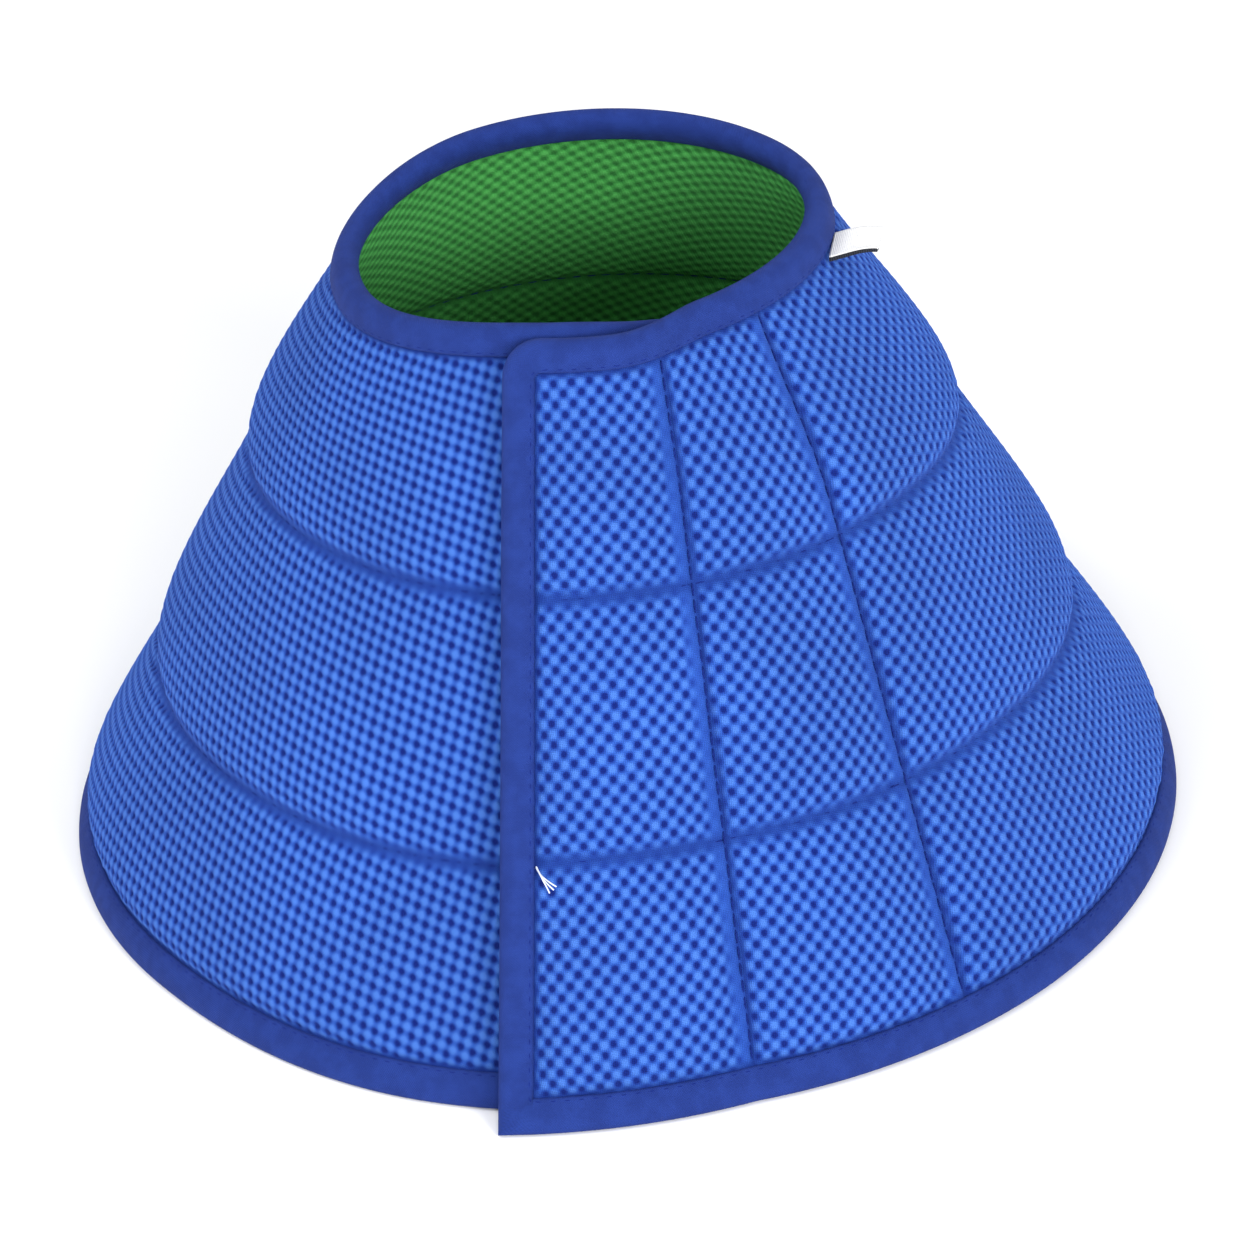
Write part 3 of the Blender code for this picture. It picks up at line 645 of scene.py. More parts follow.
def cloth_piece(cloth, segment, prefix, top, bottom, material):
    """One piece of the outer mesh or lining: a closed shell between two arrays of points."""
    name = prefix + segment["name"]
    used, index = np.unique(cloth.segment_quads(segment["span"]), return_inverse=True)
    top_points = top.reshape(-1, 3)[used]
    quads = turned_out(index.reshape(-1, 4), top_points, outward_at(cloth.turn.ravel()[used]))
    flat = np.stack([cloth.across.ravel()[used], cloth.down.ravel()[used]], axis=1)
    mesh = shell_mesh(name, top_points, bottom.reshape(-1, 3)[used], quads, flat)
    # The groove attribute carries painted shade for the seam creases and the tape's edges.
    for attribute, values in (("open", openness), ("groove", painted_crease_shade)):
        strength = values(cloth.turn, cloth.slant).ravel()[used]
        set_attribute(mesh, attribute, np.concatenate([strength, strength]))
    normals = np.concatenate([cloth.normals(top).reshape(-1, 3)[used],
                              -cloth.normals(bottom).reshape(-1, 3)[used]])
    mesh.normals_split_custom_set_from_vertices(normals.tolist())
    piece = add_piece(name, mesh, material)
    attach(piece, segment)
    return piece


def build_cloth(materials):
    """Outer mesh and lining of each segment, with the bands, seams, gathers and holes as real relief."""
    cloth = FlatCloth()
    turn, slant = cloth.turn, cloth.slant
    seams = seam_shape(turn, slant)
    gather = puckers(turn, slant)
    relief = (-LATTICE_RELIEF * cloth.lattice - HOLE_DEPTH * np.maximum(cloth.lattice, 0.0) ** 2)
    relief = relief * openness(turn, slant)
    outside = MESH_TOP + outer_bulge(turn, slant) + seams
    inside = -HALF_LAYER_GAP - inner_bulge(turn, slant) - 0.4 * seams
    mesh_top = cloth.points(outside + gather + relief)
    mesh_bottom = cloth.points(outside + gather - MESH_THICKNESS)
    lining_top = cloth.points(inside + 0.6 * gather)
    lining_bottom = cloth.points(inside + LINING_BOTTOM + HALF_LAYER_GAP + 0.6 * gather - 0.35 * relief)
    for segment in SEGMENTS:
        piece = cloth_piece(cloth, segment, "air_mesh_", mesh_top, mesh_bottom, materials["mesh"])
        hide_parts(*["outer_mesh_" + panel for panel in segment["panels"]])
        piece = cloth_piece(cloth, segment, "mesh_lining_", lining_top, lining_bottom, materials["lining"])
        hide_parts(*["lining_" + panel for panel in segment["panels"]])


# ---- Strips, tape and stitches ----

def strip_piece(name, span, slants, inside, outside, step, margins, material):
    """A closed strip of the sheet between two lines, as fine as step in both directions."""
    rows = np.linspace(slants[0], slants[1], max(int((slants[1] - slants[0]) / step), 2) + 1)
    low, high = [line_turn(line, rows) for line in span]
    low = low + turn_for(margins[0], low, rows)
    high = high - turn_for(margins[1], high, rows)
    width = np.radians(high - low).max() * RIM_RADIUS
    share = np.linspace(0.0, 1.0, max(int(width / step), 2) + 1)
    turn = low[:, None] + (high - low)[:, None] * share[None, :]
    slant = np.repeat(rows[:, None], len(share), axis=1)
    top = sheet_point(turn, slant, outside(turn, slant)).reshape(-1, 3)
    bottom = sheet_point(turn, slant, inside(turn, slant)).reshape(-1, 3)
    quads = turned_out(grid_quads(len(rows), len(share)), top, outward_at(turn.ravel()))
    along = np.radians(turn - turn.min()) * sheet_radius(turn, slant)
    flat = np.stack([along.ravel(), slant.ravel()], axis=1)
    mesh = shell_mesh(name, top, bottom, quads, flat)
    size = (float(np.ptp(flat[:, 0])) * MM, float(np.ptp(flat[:, 1])) * MM)
    return add_piece(name, mesh, material), size


def build_wadding(material):
    """Strips of wadding inside each band, split where the panels meet."""
    def upper(turn, slant):
        return HALF_LAYER_GAP + outer_bulge(turn, slant) - WADDING_TOP_GAP

    def lower(turn, slant):
        return -HALF_LAYER_GAP - inner_bulge(turn, slant) + WADDING_BOTTOM_GAP

    # Each run: name, border lines, margins at them, CAD panels, and the segment or body that it follows.
    runs = (
        ("flap_edge", (FLAP_EDGE, EDGE_SEAM), (14.0, 10.0), ("flap_edge",), "flap_edge"),
        ("flap_inner", (EDGE_SEAM, INNER_SEAM), (10.0, 10.0), ("flap_inner",), "flap_inner"),
        ("right", (INNER_SEAM, WING_BORDER), (10.0, 0.2), ("right",), "right_wing"),
        ("wing", (WING_BORDER, BACK_BORDER), (0.2, 0.2), ("right", "back"), SEGMENTS[2]),
        ("back", (BACK_BORDER, UNDERLAP_END), (0.2, 14.0), ("back",), SEGMENTS[3]),
    )
    for band, low, high in zip(("neck", "middle", "rim"), WADDING_EDGES, WADDING_EDGES[1:]):
        margin = WADDING_MARGIN * (high - low)
        for name, span, margins, panels, follows in runs:
            piece, _ = strip_piece("wadding_fill_" + name + "_" + band, span, (low + margin, high - margin),
                                   lower, upper, WADDING_STEP, margins, material)
            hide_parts(*["wadding_" + panel + "_" + band for panel in panels])
            if isinstance(follows, dict):
                attach(piece, follows)
            else:
                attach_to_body(piece, follows)


def tape_profile():
    """Closed outline of the folded tape as depth in from the edge and normal: outer face first."""
    middle = 0.5 * (TAPE_TOP + TAPE_BOTTOM)
    outer = [(depth, TAPE_TOP + lift) for depth, lift in TAPE_CROWN]
    mirrored = [(depth, 2.0 * middle - normal) for depth, normal in reversed(outer)]
    channel = [(6.9, TAPE_BOTTOM + 0.7), (TAPE_FOLD, TAPE_BOTTOM + 0.8), (TAPE_FOLD, TAPE_TOP - 0.8),
               (6.9, TAPE_TOP - 0.7)]
    return outer + [(0.0, middle)] + mirrored + channel


def edge_run(span, kind):
    """Stations along the neck or the rim, as far as the corner of a free end."""
    slant, radius, corner = (0.0, NECK_RADIUS, CORNER_RADIUS)
    if kind == "rim":
        slant, radius, corner = (SLANT_LENGTH, RIM_RADIUS, TAPE_WIDTH)
    start, stop = [float(line_turn(line, slant)) for line in span]
    if span[0] == FLAP_EDGE:
        start += float(turn_for(corner, start, slant))
    if span[1] == UNDERLAP_END:
        stop -= float(turn_for(corner, stop, slant))
    count = max(int(abs(stop - start) * math.pi / 180.0 * radius / TAPE_STEP), 4)
    return [(kind, turn) for turn in np.linspace(start, stop, count + 1)]


def end_run(line, side):
    """Stations round a free end's top corner and down its edge to the mitre at the rim."""
    angles = np.linspace(0.0, 0.5 * math.pi, CORNER_STATIONS)[1:]
    slants = np.linspace(CORNER_RADIUS, SLANT_LENGTH - TAPE_WIDTH, END_STATIONS)[1:-1]
    return ([("corner", line, side, angle) for angle in angles]
            + [("end", line, side, slant) for slant in slants] + [("mitre", line, side)])


def tape_stations(span):
    """Lists of stations along a segment's edges: one list where a free end joins its neck and rim."""
    neck = edge_run(span, "neck")
    rim = edge_run(span, "rim")
    if span[0] == FLAP_EDGE:
        return [neck[::-1] + end_run(FLAP_EDGE, -1.0) + rim]
    if span[1] == UNDERLAP_END:
        return [neck + end_run(UNDERLAP_END, 1.0) + rim[::-1]]
    return [neck, rim]


def rim_depth(depth, normal):
    """Depth of a tape point at the rim, where the fold is pressed level on the floor."""
    flat = -normal * TAN_CONE
    return max(depth, 0.0) + flat * max(1.0 - depth / TAPE_FOLD, 0.0)


def station_point(station, depth, normal):
    """Point of the tape at a station, depth in from the edge."""
    kind = station[0]
    if kind == "neck":
        return sheet_point(station[1], depth, normal)
    if kind == "rim":
        return sheet_point(station[1], SLANT_LENGTH - rim_depth(depth, normal), normal)
    line, side = station[1], station[2]
    if kind == "corner":
        reach = CORNER_RADIUS - depth
        inset = CORNER_RADIUS - reach * math.sin(station[3])
        slant = CORNER_RADIUS - reach * math.cos(station[3])
    elif kind == "end":
        inset, slant = depth, station[3]
    else:
        inset, slant = depth, SLANT_LENGTH - rim_depth(depth, normal)
    edge = float(line_turn(line, slant))
    return sheet_point(edge - side * float(turn_for(inset, edge, slant)), slant, normal)


def steps_along(path):
    """Length along a path at each of its points, in millimetres."""
    return np.concatenate([[0.0], np.cumsum(np.linalg.norm(np.diff(path, axis=0), axis=1))]) / MM


def tape_piece(name, stations, material):
    """One length of folded tape: its profile carried along the stations, and closed at both ends."""
    profile = tape_profile()
    size = len(profile)
    lengths = np.cumsum([0.0] + [math.dist(a, b) for a, b in zip(profile, profile[1:])])
    rings = np.array([[station_point(station, depth, normal) for depth, normal in profile]
                      for station in stations])
    along = steps_along(rings.mean(axis=1))
    cap = np.array([(index, index + 1, size - 2 - index, size - 1 - index) for index in range(size // 2 - 1)])
    quads = np.concatenate([grid_quads(len(stations), size, wrap=True), cap[:, ::-1],
                            cap + (len(stations) - 1) * size])
    mesh = mesh_from_arrays(name, rings.reshape(-1, 3), quads)
    fix_facing(mesh)
    mesh.set_sharp_from_angle(angle=math.radians(60.0))
    flat = np.stack(np.broadcast_arrays(along[:, None], lengths[None, :]), axis=-1).reshape(-1, 2)
    set_flat(mesh, flat)
    return add_piece(name, mesh, material), float(along[-1]) * MM


def binding_node(panel, edge):
    """Name of the CAD tape at a panel's neck or rim: the two panels with a free end have only one."""
    return "binding_" + panel if panel in ("back", "flap_edge") else edge + "_binding_" + panel


def build_tape(material):
    """Binding tape along the edges of each segment."""
    for segment in SEGMENTS:
        lists = tape_stations(segment["span"])
        edges = (("neck", "rim"),) if len(lists) == 1 else (("neck",), ("rim",))
        for stations, names in zip(lists, edges):
            piece, length = tape_piece("tape_" + "_".join(names) + "_" + segment["name"], stations, material)
            nodes = {binding_node(panel, edge) for panel in segment["panels"] for edge in names}
            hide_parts(*sorted(nodes))
            attach(piece, segment)


def stitch_piece(name, centres, tangents, outwards, stitch, material):
    """Many small stitches as one piece: each a short bead that sinks at both ends."""
    length, radius = stitch
    tangents = tangents / np.linalg.norm(tangents, axis=1, keepdims=True)
    sideways = np.cross(tangents, outwards)
    sideways /= np.linalg.norm(sideways, axis=1, keepdims=True)
    angles = np.linspace(0.0, 2.0 * np.pi, STITCH_SIDES, endpoint=False)
    rows = np.array([(along * 0.5 * length, math.cos(angle) * thick * radius,
                      math.sin(angle) * thick * radius + lift * radius)
                     for along, thick, lift in STITCH_ROWS for angle in angles]) * MM
    points = (centres[:, None] + tangents[:, None] * rows[None, :, :1]
              + sideways[:, None] * rows[None, :, 1:2] + outwards[:, None] * rows[None, :, 2:])
    cap = np.array([(0, 1, 2, 3), (0, 3, 4, 5)])
    quads = np.concatenate([grid_quads(len(STITCH_ROWS), STITCH_SIDES, wrap=True), cap,
                            (cap + len(rows) - STITCH_SIDES)[:, ::-1]])
    every = (quads[None] + (np.arange(len(centres)) * len(rows))[:, None, None]).reshape(-1, 4)
    mesh = mesh_from_arrays(name, points.reshape(-1, 3), every)
    fix_facing(mesh)
    set_flat(mesh, np.tile(rows[:, :2] / MM, (len(centres), 1)))
    return add_piece(name, mesh, material)


def joined(parts):
    """Several (centres, tangents, outwards) as one."""
    return [np.concatenate(values) for values in zip(*parts)]


def ring_stitches(span, ring, normal):
    """Centres, tangents and outward directions of a ring seam's stitches on one face of the cloth."""
    slant = float(ring_slant(ring, np.array(sum(sum(span, ())) / 4.0)))
    low, high = [float(line_turn(line, slant)) for line in span]
    if span[0] == FLAP_EDGE:
        low += float(turn_for(BAND_START, low, slant))
    if span[1] == UNDERLAP_END:
        high -= float(turn_for(BAND_START, high, slant))
    count = max(int(math.radians(high - low) * sheet_radius(0.5 * (low + high), slant) / STITCH_PITCH), 1)
    turns = low + (high - low) * (np.arange(count) + 0.5) / count
    slants = ring_slant(ring, turns)
    sign, share = (1.0, 1.0) if normal > 0 else (-1.0, -0.4)
    centres = sheet_point(turns, slants, normal + seam_shape(turns, slants) * share)
    angle = np.radians(turns)
    tangents = np.stack([np.cos(angle), np.sin(angle), 0.0 * angle], axis=1)
    return centres, tangents, outward_at(turns) * sign


def radial_stitches(line):
    """Centres, tangents and outward directions of a radial seam's stitches on both faces."""
    slants = np.arange(TAPE_WIDTH + 2.0, SLANT_LENGTH - TAPE_WIDTH - 1.5, STITCH_PITCH)
    turns = line_turn(line, slants)
    outward = outward_at(turns)
    top, below = [sheet_point(turns, slants, normal + 0.0 * slants) for normal in RADIAL_STITCH_NORMALS]
    tangents = np.gradient(top, axis=0)
    return joined([(top, tangents, outward), (below, tangents, -outward)])


def build_stitches(material):
    """Stitches of the ring seams and the radial seams."""
    for segment in SEGMENTS:
        for ring, row in enumerate(("upper", "lower")):
            parts = [ring_stitches(segment["span"], ring, normal) for normal in RING_STITCH_NORMALS]
            piece = stitch_piece("ring_thread_" + segment["name"] + "_" + row, *joined(parts), STITCH_SIZE,
                                 material)
            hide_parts(*["ring_stitch_" + panel + "_" + row for panel in segment["panels"]])
            attach(piece, segment)
    for name, line, segment in (("inner", INNER_SEAM, SEGMENTS[1]), ("edge", EDGE_SEAM, SEGMENTS[0])):
        piece = stitch_piece("radial_thread_" + name, *radial_stitches(line), STITCH_SIZE, material)
        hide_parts("radial_stitch_" + name)
        attach(piece, segment)


def tape_stitches(stations, normal, sign):
    """Centres, tangents and outward directions of the stitches along one face of the tape."""
    path, ahead = [np.array([station_point(station, TAPE_STITCH_DEPTH, level) for station in stations])
                   for level in (normal, normal + sign)]
    steps = steps_along(path)
    marks = np.arange(0.5 * TAPE_STITCH_PITCH, steps[-1], TAPE_STITCH_PITCH)
    centres, outwards = [np.stack([np.interp(marks, steps, values[:, axis]) for axis in range(3)], axis=1)
                         for values in (path, ahead - path)]
    outwards /= np.linalg.norm(outwards, axis=1, keepdims=True)
    return centres, np.gradient(centres, axis=0), outwards


def build_tape_stitches(material):
    """Stitches in the groove of the binding tape, on both faces."""
    faces = ((TAPE_TOP - TAPE_STITCH_INSET, 1.0), (TAPE_BOTTOM + TAPE_STITCH_INSET, -1.0))
    for segment in SEGMENTS:
        for letter, stations in zip("ab", tape_stations(segment["span"])):
            both = joined([tape_stitches(stations, normal, sign) for normal, sign in faces])
            piece = stitch_piece("tape_thread_" + segment["name"] + "_" + letter, *both, TAPE_STITCH_SIZE,
                                 material)
            attach(piece, segment)


def build_closure(hook_material, loop_material):
    """Hook strip inside the flap's edge and loop strip on the underlap below it."""
    def hook_top(turn, slant):
        return LINING_BOTTOM - inner_bulge(turn, slant) - 0.25

    def hook_bottom(turn, slant):
        return hook_top(turn, slant) - CLOSURE_THICKNESS

    def loop_bottom(turn, slant):
        return LOOP_NORMAL + 0.0 * turn

    def loop_top(turn, slant):
        return LOOP_NORMAL + CLOSURE_THICKNESS + 0.0 * turn

    hook, size = strip_piece("hook_tape", (FLAP_EDGE, EDGE_SEAM), CLOSURE_SLANTS, hook_bottom, hook_top,
                             CLOSURE_STEP, (8.5, 8.5), hook_material)
    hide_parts("hook_strip")
    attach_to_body(hook, "flap_edge")
    loop, size = strip_piece("loop_tape", LOOP_SPAN, CLOSURE_SLANTS, loop_bottom, loop_top, CLOSURE_STEP,
                             (0.15, 0.15), loop_material)
    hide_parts("loop_strip")
    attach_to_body(loop, "back")


# ---- Label and loose thread ----

def label_axes():
    """Directions out of the collar and sideways along the neck, at the label."""
    angle = math.radians(LABEL_TURN)
    return (np.array([math.sin(angle), -math.cos(angle), 0.0]),
            np.array([math.cos(angle), math.sin(angle), 0.0]))


def label_points(out, side, lift):
    """Points of the label from its distances out and sideways: it tilts up and its front edge curls."""
    outward, sideways = label_axes()
    tilt = math.radians(LABEL_TILT)
    arch = LABEL_ARCH * np.sin(np.pi * np.clip(out / LABEL_LENGTH, 0.0, 1.0))
    curl = LABEL_CURL * smooth(-3.0, -6.5, side) * smooth(2.0, LABEL_LENGTH, out)
    height = out * math.sin(tilt) + arch + curl + lift
    place = (outward * (out * math.cos(tilt))[..., None] + sideways * side[..., None]
             + np.array([0.0, 0.0, 1.0]) * height[..., None])
    return (sheet_point(LABEL_TURN, LABEL_SLANT, LABEL_NORMAL) + place * MM).reshape(-1, 3)


def build_label(satin, backing):
    """A small folded label that stands out from under the neck tape: white, with a dark hem in front."""
    half = 0.5 * LABEL_WIDTH
    # Each ply: name, sides, lifts of its faces, length, lift of its hem, CAD node, slot and material.
    plies = (("label_face", (-half, half), (0.1, 0.45), LABEL_LENGTH, 0.0, "label_tab", "label_satin", satin),
             ("label_fold", (-half - 0.6, half - 0.2), (-0.45, 0.0), LABEL_LENGTH - 0.1, 0.3,
              "label_backing", "label_backing", backing))
    for name, sides, lifts, length, hem_lift, node, slot, material in plies:
        out, side = np.meshgrid(np.linspace(-LABEL_ROOT, length, 30), np.linspace(*sides, 30), indexing="ij")
        hem = np.where(side < -half + 0.1, hem_lift, 0.0)
        top = label_points(out, side, lifts[1] + hem)
        bottom = label_points(out, side, lifts[0])
        flat = np.stack([side.ravel(), out.ravel()], axis=1)
        mesh = shell_mesh(name, top, bottom, grid_quads(*out.shape), flat)
        fix_facing(mesh)
        piece = add_piece(name, mesh, material)
        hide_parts(node)
        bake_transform(piece)


def build_thread_tail(material):
    """Loose end of thread below the lower ring seam, with its strands parting at the tip."""
    curve = bpy.data.curves.new("loose_thread", "CURVE")
    curve.dimensions = "3D"
    curve.bevel_depth = THREAD_RADIUS * MM
    curve.bevel_resolution = 3
    curve.use_fill_caps = True
    for strand in THREAD_STRANDS:
        spline = curve.splines.new("NURBS")
        spline.points.add(len(strand) - 1)
        spline.use_endpoint_u = True
        spline.order_u = 4
        for target, (inset, past, above) in zip(spline.points, strand):
            slant = np.array(SLANT_LENGTH * FLAP_RING_SHARES[1] + past)
            edge = float(line_turn(FLAP_EDGE, slant))
            turn = np.array(edge + float(turn_for(inset, edge, slant)))
            point = sheet_point(turn, slant, MESH_TOP + outer_bulge(turn, slant) + above)
            target.co = (*point, 1.0)
    piece = add_piece("loose_thread", curve, material)
    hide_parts("thread_tail")
    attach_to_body(piece, "flap_edge")


# ---- Materials ----

# Colours in sRGB, 0 to 255, except where a name says linear.
# Knit palettes: the crease colour is painted shade for the seam creases; hole is partly painted shade in the
# holes, and high is a painted highlight on the crossings.
BLUE_KNIT = {"hole": (8, 31, 112), "low": (28, 62, 150), "middle": (42, 84, 173), "high": (66, 112, 197),
             "crease_shade": (10, 32, 106), "sheen": (100, 145, 255)}
GREEN_KNIT = {"hole": (46, 120, 54), "low": (60, 146, 68), "middle": (70, 162, 76), "high": (88, 186, 92),
              "crease_shade": (30, 96, 44), "sheen": (150, 230, 160)}
TAPE_COLOURS = ((28, 49, 119), (32, 55, 129))
TAPE_SHEEN = (150, 165, 235)
THREAD_COLOUR = (18, 38, 116)
PALE_THREAD_COLOUR = (214, 220, 236)
WADDING_COLOURS = ((214, 217, 222), (246, 247, 249))
HOOK_COLOURS = ((12, 16, 40), (46, 58, 110))
LOOP_COLOURS = ((18, 26, 66), (64, 84, 150))
SATIN_COLOURS = ((246, 246, 245), (254, 254, 254))
BACKING_COLOURS = ((14, 16, 22), (42, 46, 58))
FLOOR_LINEAR = ((0.95, 0.95, 0.95, 1.0), (0.97, 0.97, 0.97, 1.0))
WHITE = (1.0, 1.0, 1.0, 1.0)


def linear(colour):
    """Scene-linear colour of an sRGB colour given in 0 to 255."""
    shares = [value / 255.0 for value in colour]
    return (*[share / 12.92 if share <= 0.04045 else ((share + 0.055) / 1.055) ** 2.4
              for share in shares], 1.0)


class Nodes:
    """Short calls for building a node tree. A value is a number, a colour or the output of a node."""

    def __init__(self, name):
        self.material = bpy.data.materials.new(name)
        self.material.use_nodes = True
        self.tree = self.material.node_tree
        self.shader = self.tree.nodes["Principled BSDF"]

    def add(self, kind, **settings):
        node = self.tree.nodes.new(kind)
        for key, value in settings.items():
            setattr(node, key, value)
        return node

    def feed(self, socket, value):
        """Set a socket to a number or colour, or link it to another node's output."""
        if isinstance(value, (int, float, tuple)):
            socket.default_value = value
        else:
            self.tree.links.new(value, socket)

    def math(self, operation, first, second=None):
        node = self.add("ShaderNodeMath", operation=operation)
        self.feed(node.inputs[0], first)
        if second is not None:
            self.feed(node.inputs[1], second)
        return node.outputs[0]

    def plus(self, first, second):
        return self.math("ADD", first, second)

    def times(self, first, second):
        return self.math("MULTIPLY", first, second)

    def wave(self, value, pitch, operation="SINE"):
        """Sine or cosine of a coordinate, repeating after pitch."""
        return self.math(operation, self.times(value, 2.0 * math.pi / pitch))

    def weave(self, across, down, pitches, operation="SINE"):
        """Product of a wave across and a wave down."""
        return self.times(self.wave(across, pitches[0], operation), self.wave(down, pitches[1], operation))

    def remap(self, value, low, high, new_low=0.0, new_high=1.0, steps="SMOOTHSTEP"):
        node = self.add("ShaderNodeMapRange", interpolation_type=steps)
        for key, number in (("Value", value), ("From Min", low), ("From Max", high), ("To Min", new_low),
                            ("To Max", new_high)):
            self.feed(node.inputs[key], number)
        return node.outputs["Result"]

    def mix(self, factor, first, second, blend="MIX"):
        node = self.add("ShaderNodeMix", data_type="RGBA", blend_type=blend)
        for socket, value in ((node.inputs[0], factor), (node.inputs[6], first), (node.inputs[7], second)):
            self.feed(socket, value)
        return node.outputs[2]

    def shaded(self, colour, value, low, high, dark, light):
        """The colour multiplied by dark where value is low, up to light where it is high."""
        return self.mix(1.0, colour, self.remap(value, low, high, dark, light), "MULTIPLY")

    def ramp(self, factor, stops):
        node = self.add("ShaderNodeValToRGB")
        elements = node.color_ramp.elements
        while len(elements) < len(stops):
            elements.new(0.5)
        for element, (position, colour) in zip(elements, stops):
            element.position = position
            element.color = colour
        self.feed(node.inputs[0], factor)
        return node.outputs[0]

    def noise(self, vector, scale, detail=3.0, roughness=0.55):
        node = self.add("ShaderNodeTexNoise")
        for key, value in (("Scale", scale), ("Detail", detail), ("Roughness", roughness),
                           ("Vector", vector)):
            self.feed(node.inputs[key], value)
        return node.outputs["Fac"]

    def flat(self):
        """The flat-pattern coordinates in millimetres: vector, across and down."""
        uv = self.add("ShaderNodeUVMap", uv_map="flat")
        split = self.add("ShaderNodeSeparateXYZ")
        self.feed(split.inputs[0], uv.outputs[0])
        return uv.outputs[0], split.outputs[0], split.outputs[1]

    def object_place(self):
        return self.add("ShaderNodeTexCoord").outputs["Object"]

    def attribute(self, name):
        return self.add("ShaderNodeAttribute", attribute_name=name).outputs["Fac"]

    def finish(self, colour, roughness, height, relief, sheen=0.0, sheen_tint=WHITE, specular=0.3):
        """Connect the shader. relief is the bump's distance in metres and its strength."""
        bump = self.add("ShaderNodeBump")
        for key, value in (("Distance", relief[0]), ("Strength", relief[1]), ("Height", height)):
            self.feed(bump.inputs[key], value)
        settings = (("Base Color", colour), ("Roughness", roughness), ("Normal", bump.outputs["Normal"]),
                    ("Specular IOR Level", specular), ("Sheen Weight", sheen), ("Sheen Roughness", 0.45),
                    ("Sheen Tint", sheen_tint))
        for key, value in settings:
            self.feed(self.shader.inputs[key], value)
        return self.material


def knit_material(name, colours, sheen):
    """Knitted mesh with a lattice of small holes that close up beside the stitching, with painted shade in
    the holes and seam creases and painted highlights on the crossings between the holes.
    """
    nodes = Nodes(name)
    hole, low, middle, high, crease_shade, sheen_tint = [
        linear(colours[key]) for key in ("hole", "low", "middle", "high", "crease_shade", "sheen")]
    flat, across, down = nodes.flat()
    wobble = nodes.noise(flat, 0.9, 2.0)
    across = nodes.plus(across, nodes.times(nodes.math("SUBTRACT", wobble, 0.5), 0.5))
    opened = nodes.attribute("open")
    shown = nodes.times(nodes.weave(across, down, (CELL_ACROSS, CELL_DOWN), "COSINE"), opened)
    closed = nodes.times(nodes.math("SUBTRACT", 1.0, opened), 0.16)
    # Hole lattice: the knit's own pattern. The dark hole colour is partly the darker inner layer and partly
    # painted shade in the holes, and the light crossings are painted highlights.
    colour = nodes.ramp(nodes.remap(nodes.plus(shown, closed), -1.0, 1.0, steps="LINEAR"),
                        ((0.0, high), (0.15, high), (0.48, middle), (0.68, low), (0.85, hole), (1.0, hole)))
    # Yarn: short diagonal ribs of the knit's loops.
    yarn = nodes.weave(nodes.plus(across, down), nodes.math("SUBTRACT", across, down),
                       (YARN_PITCH, YARN_PITCH))
    fuzz = nodes.noise(flat, 5.0, 4.0, 0.65)
    colour = nodes.shaded(colour, nodes.plus(nodes.times(yarn, 0.4), fuzz), 0.1, 1.0, 0.74, 1.2)
    colour = nodes.shaded(colour, nodes.noise(nodes.object_place(), 22.0, 2.0), 0.3, 0.7, 0.92, 1.06)
    # Painted shade: the seam creases and the tape's edges are mixed towards the dark crease colour.
    colour = nodes.mix(nodes.attribute("groove"), colour, crease_shade)
    height = nodes.plus(nodes.times(shown, -0.5), nodes.times(yarn, 0.3))
    height = nodes.plus(height, nodes.times(fuzz, 0.3))
    roughness = nodes.remap(fuzz, 0.2, 0.8, 0.72, 0.95)
    return nodes.finish(colour, roughness, height, (0.00035, 0.7), sheen, sheen_tint, 0.15)


def tape_material():
    """Fine woven tape with faint ribs along it."""
    nodes = Nodes("woven tape")
    flat, along, across = nodes.flat()
    weave = nodes.weave(across, along, (0.55, 0.5))
    fuzz = nodes.noise(flat, 3.2, 4.0, 0.6)
    colour = nodes.mix(nodes.remap(nodes.noise(flat, 0.22, 2.0), 0.35, 0.65), *map(linear, TAPE_COLOURS))
    colour = nodes.shaded(colour, nodes.plus(nodes.times(weave, 0.2), fuzz), 0.2, 0.9, 0.84, 1.12)
    height = nodes.plus(nodes.times(weave, 0.5), nodes.times(fuzz, 0.6))
    return nodes.finish(colour, 0.86, height, (0.00016, 0.8), 0.05, linear(TAPE_SHEEN), 0.15)


def thread_material(name, colour):
    """Twisted thread with fine fibres."""
    nodes = Nodes(name)
    _, along, across = nodes.flat()
    fine = nodes.noise(nodes.object_place(), 900.0, 3.0)
    ply = nodes.wave(nodes.plus(along, nodes.times(across, 2.5)), 1.1)
    colour = nodes.shaded(linear(colour), nodes.plus(nodes.times(ply, 0.2), fine), 0.2, 0.9, 0.75, 1.15)
    return nodes.finish(colour, 0.8, nodes.plus(ply, fine), (0.00008, 0.8), specular=0.12)


def wadding_material():
    """Loose white fibre in soft clumps."""
    nodes = Nodes("wadding fibre")
    place = nodes.object_place()
    clumps = nodes.noise(place, 160.0, 5.0, 0.7)
    fibres = nodes.noise(place, 900.0, 4.0, 0.7)
    colour = nodes.ramp(clumps, tuple(zip((0.3, 0.7), map(linear, WADDING_COLOURS))))
    height = nodes.plus(clumps, nodes.times(fibres, 0.5))
    return nodes.finish(colour, 0.95, height, (0.0006, 1.0), 0.3, specular=0.2)


def nap_material(name, colours, pitch):
    """Hook or loop tape: a dense field of small tufts."""
    nodes = Nodes(name)
    flat, across, down = nodes.flat()
    fuzz = nodes.noise(flat, 4.0, 5.0, 0.7)
    height = nodes.plus(nodes.times(nodes.weave(across, down, (pitch, pitch), "COSINE"), 0.5), fuzz)
    dark, light = map(linear, colours)
    colour = nodes.ramp(nodes.remap(height, 0.0, 1.1), ((0.1, dark), (0.8, light)))
    return nodes.finish(colour, 0.9, height, (0.0004, 1.0), 0.35, light)


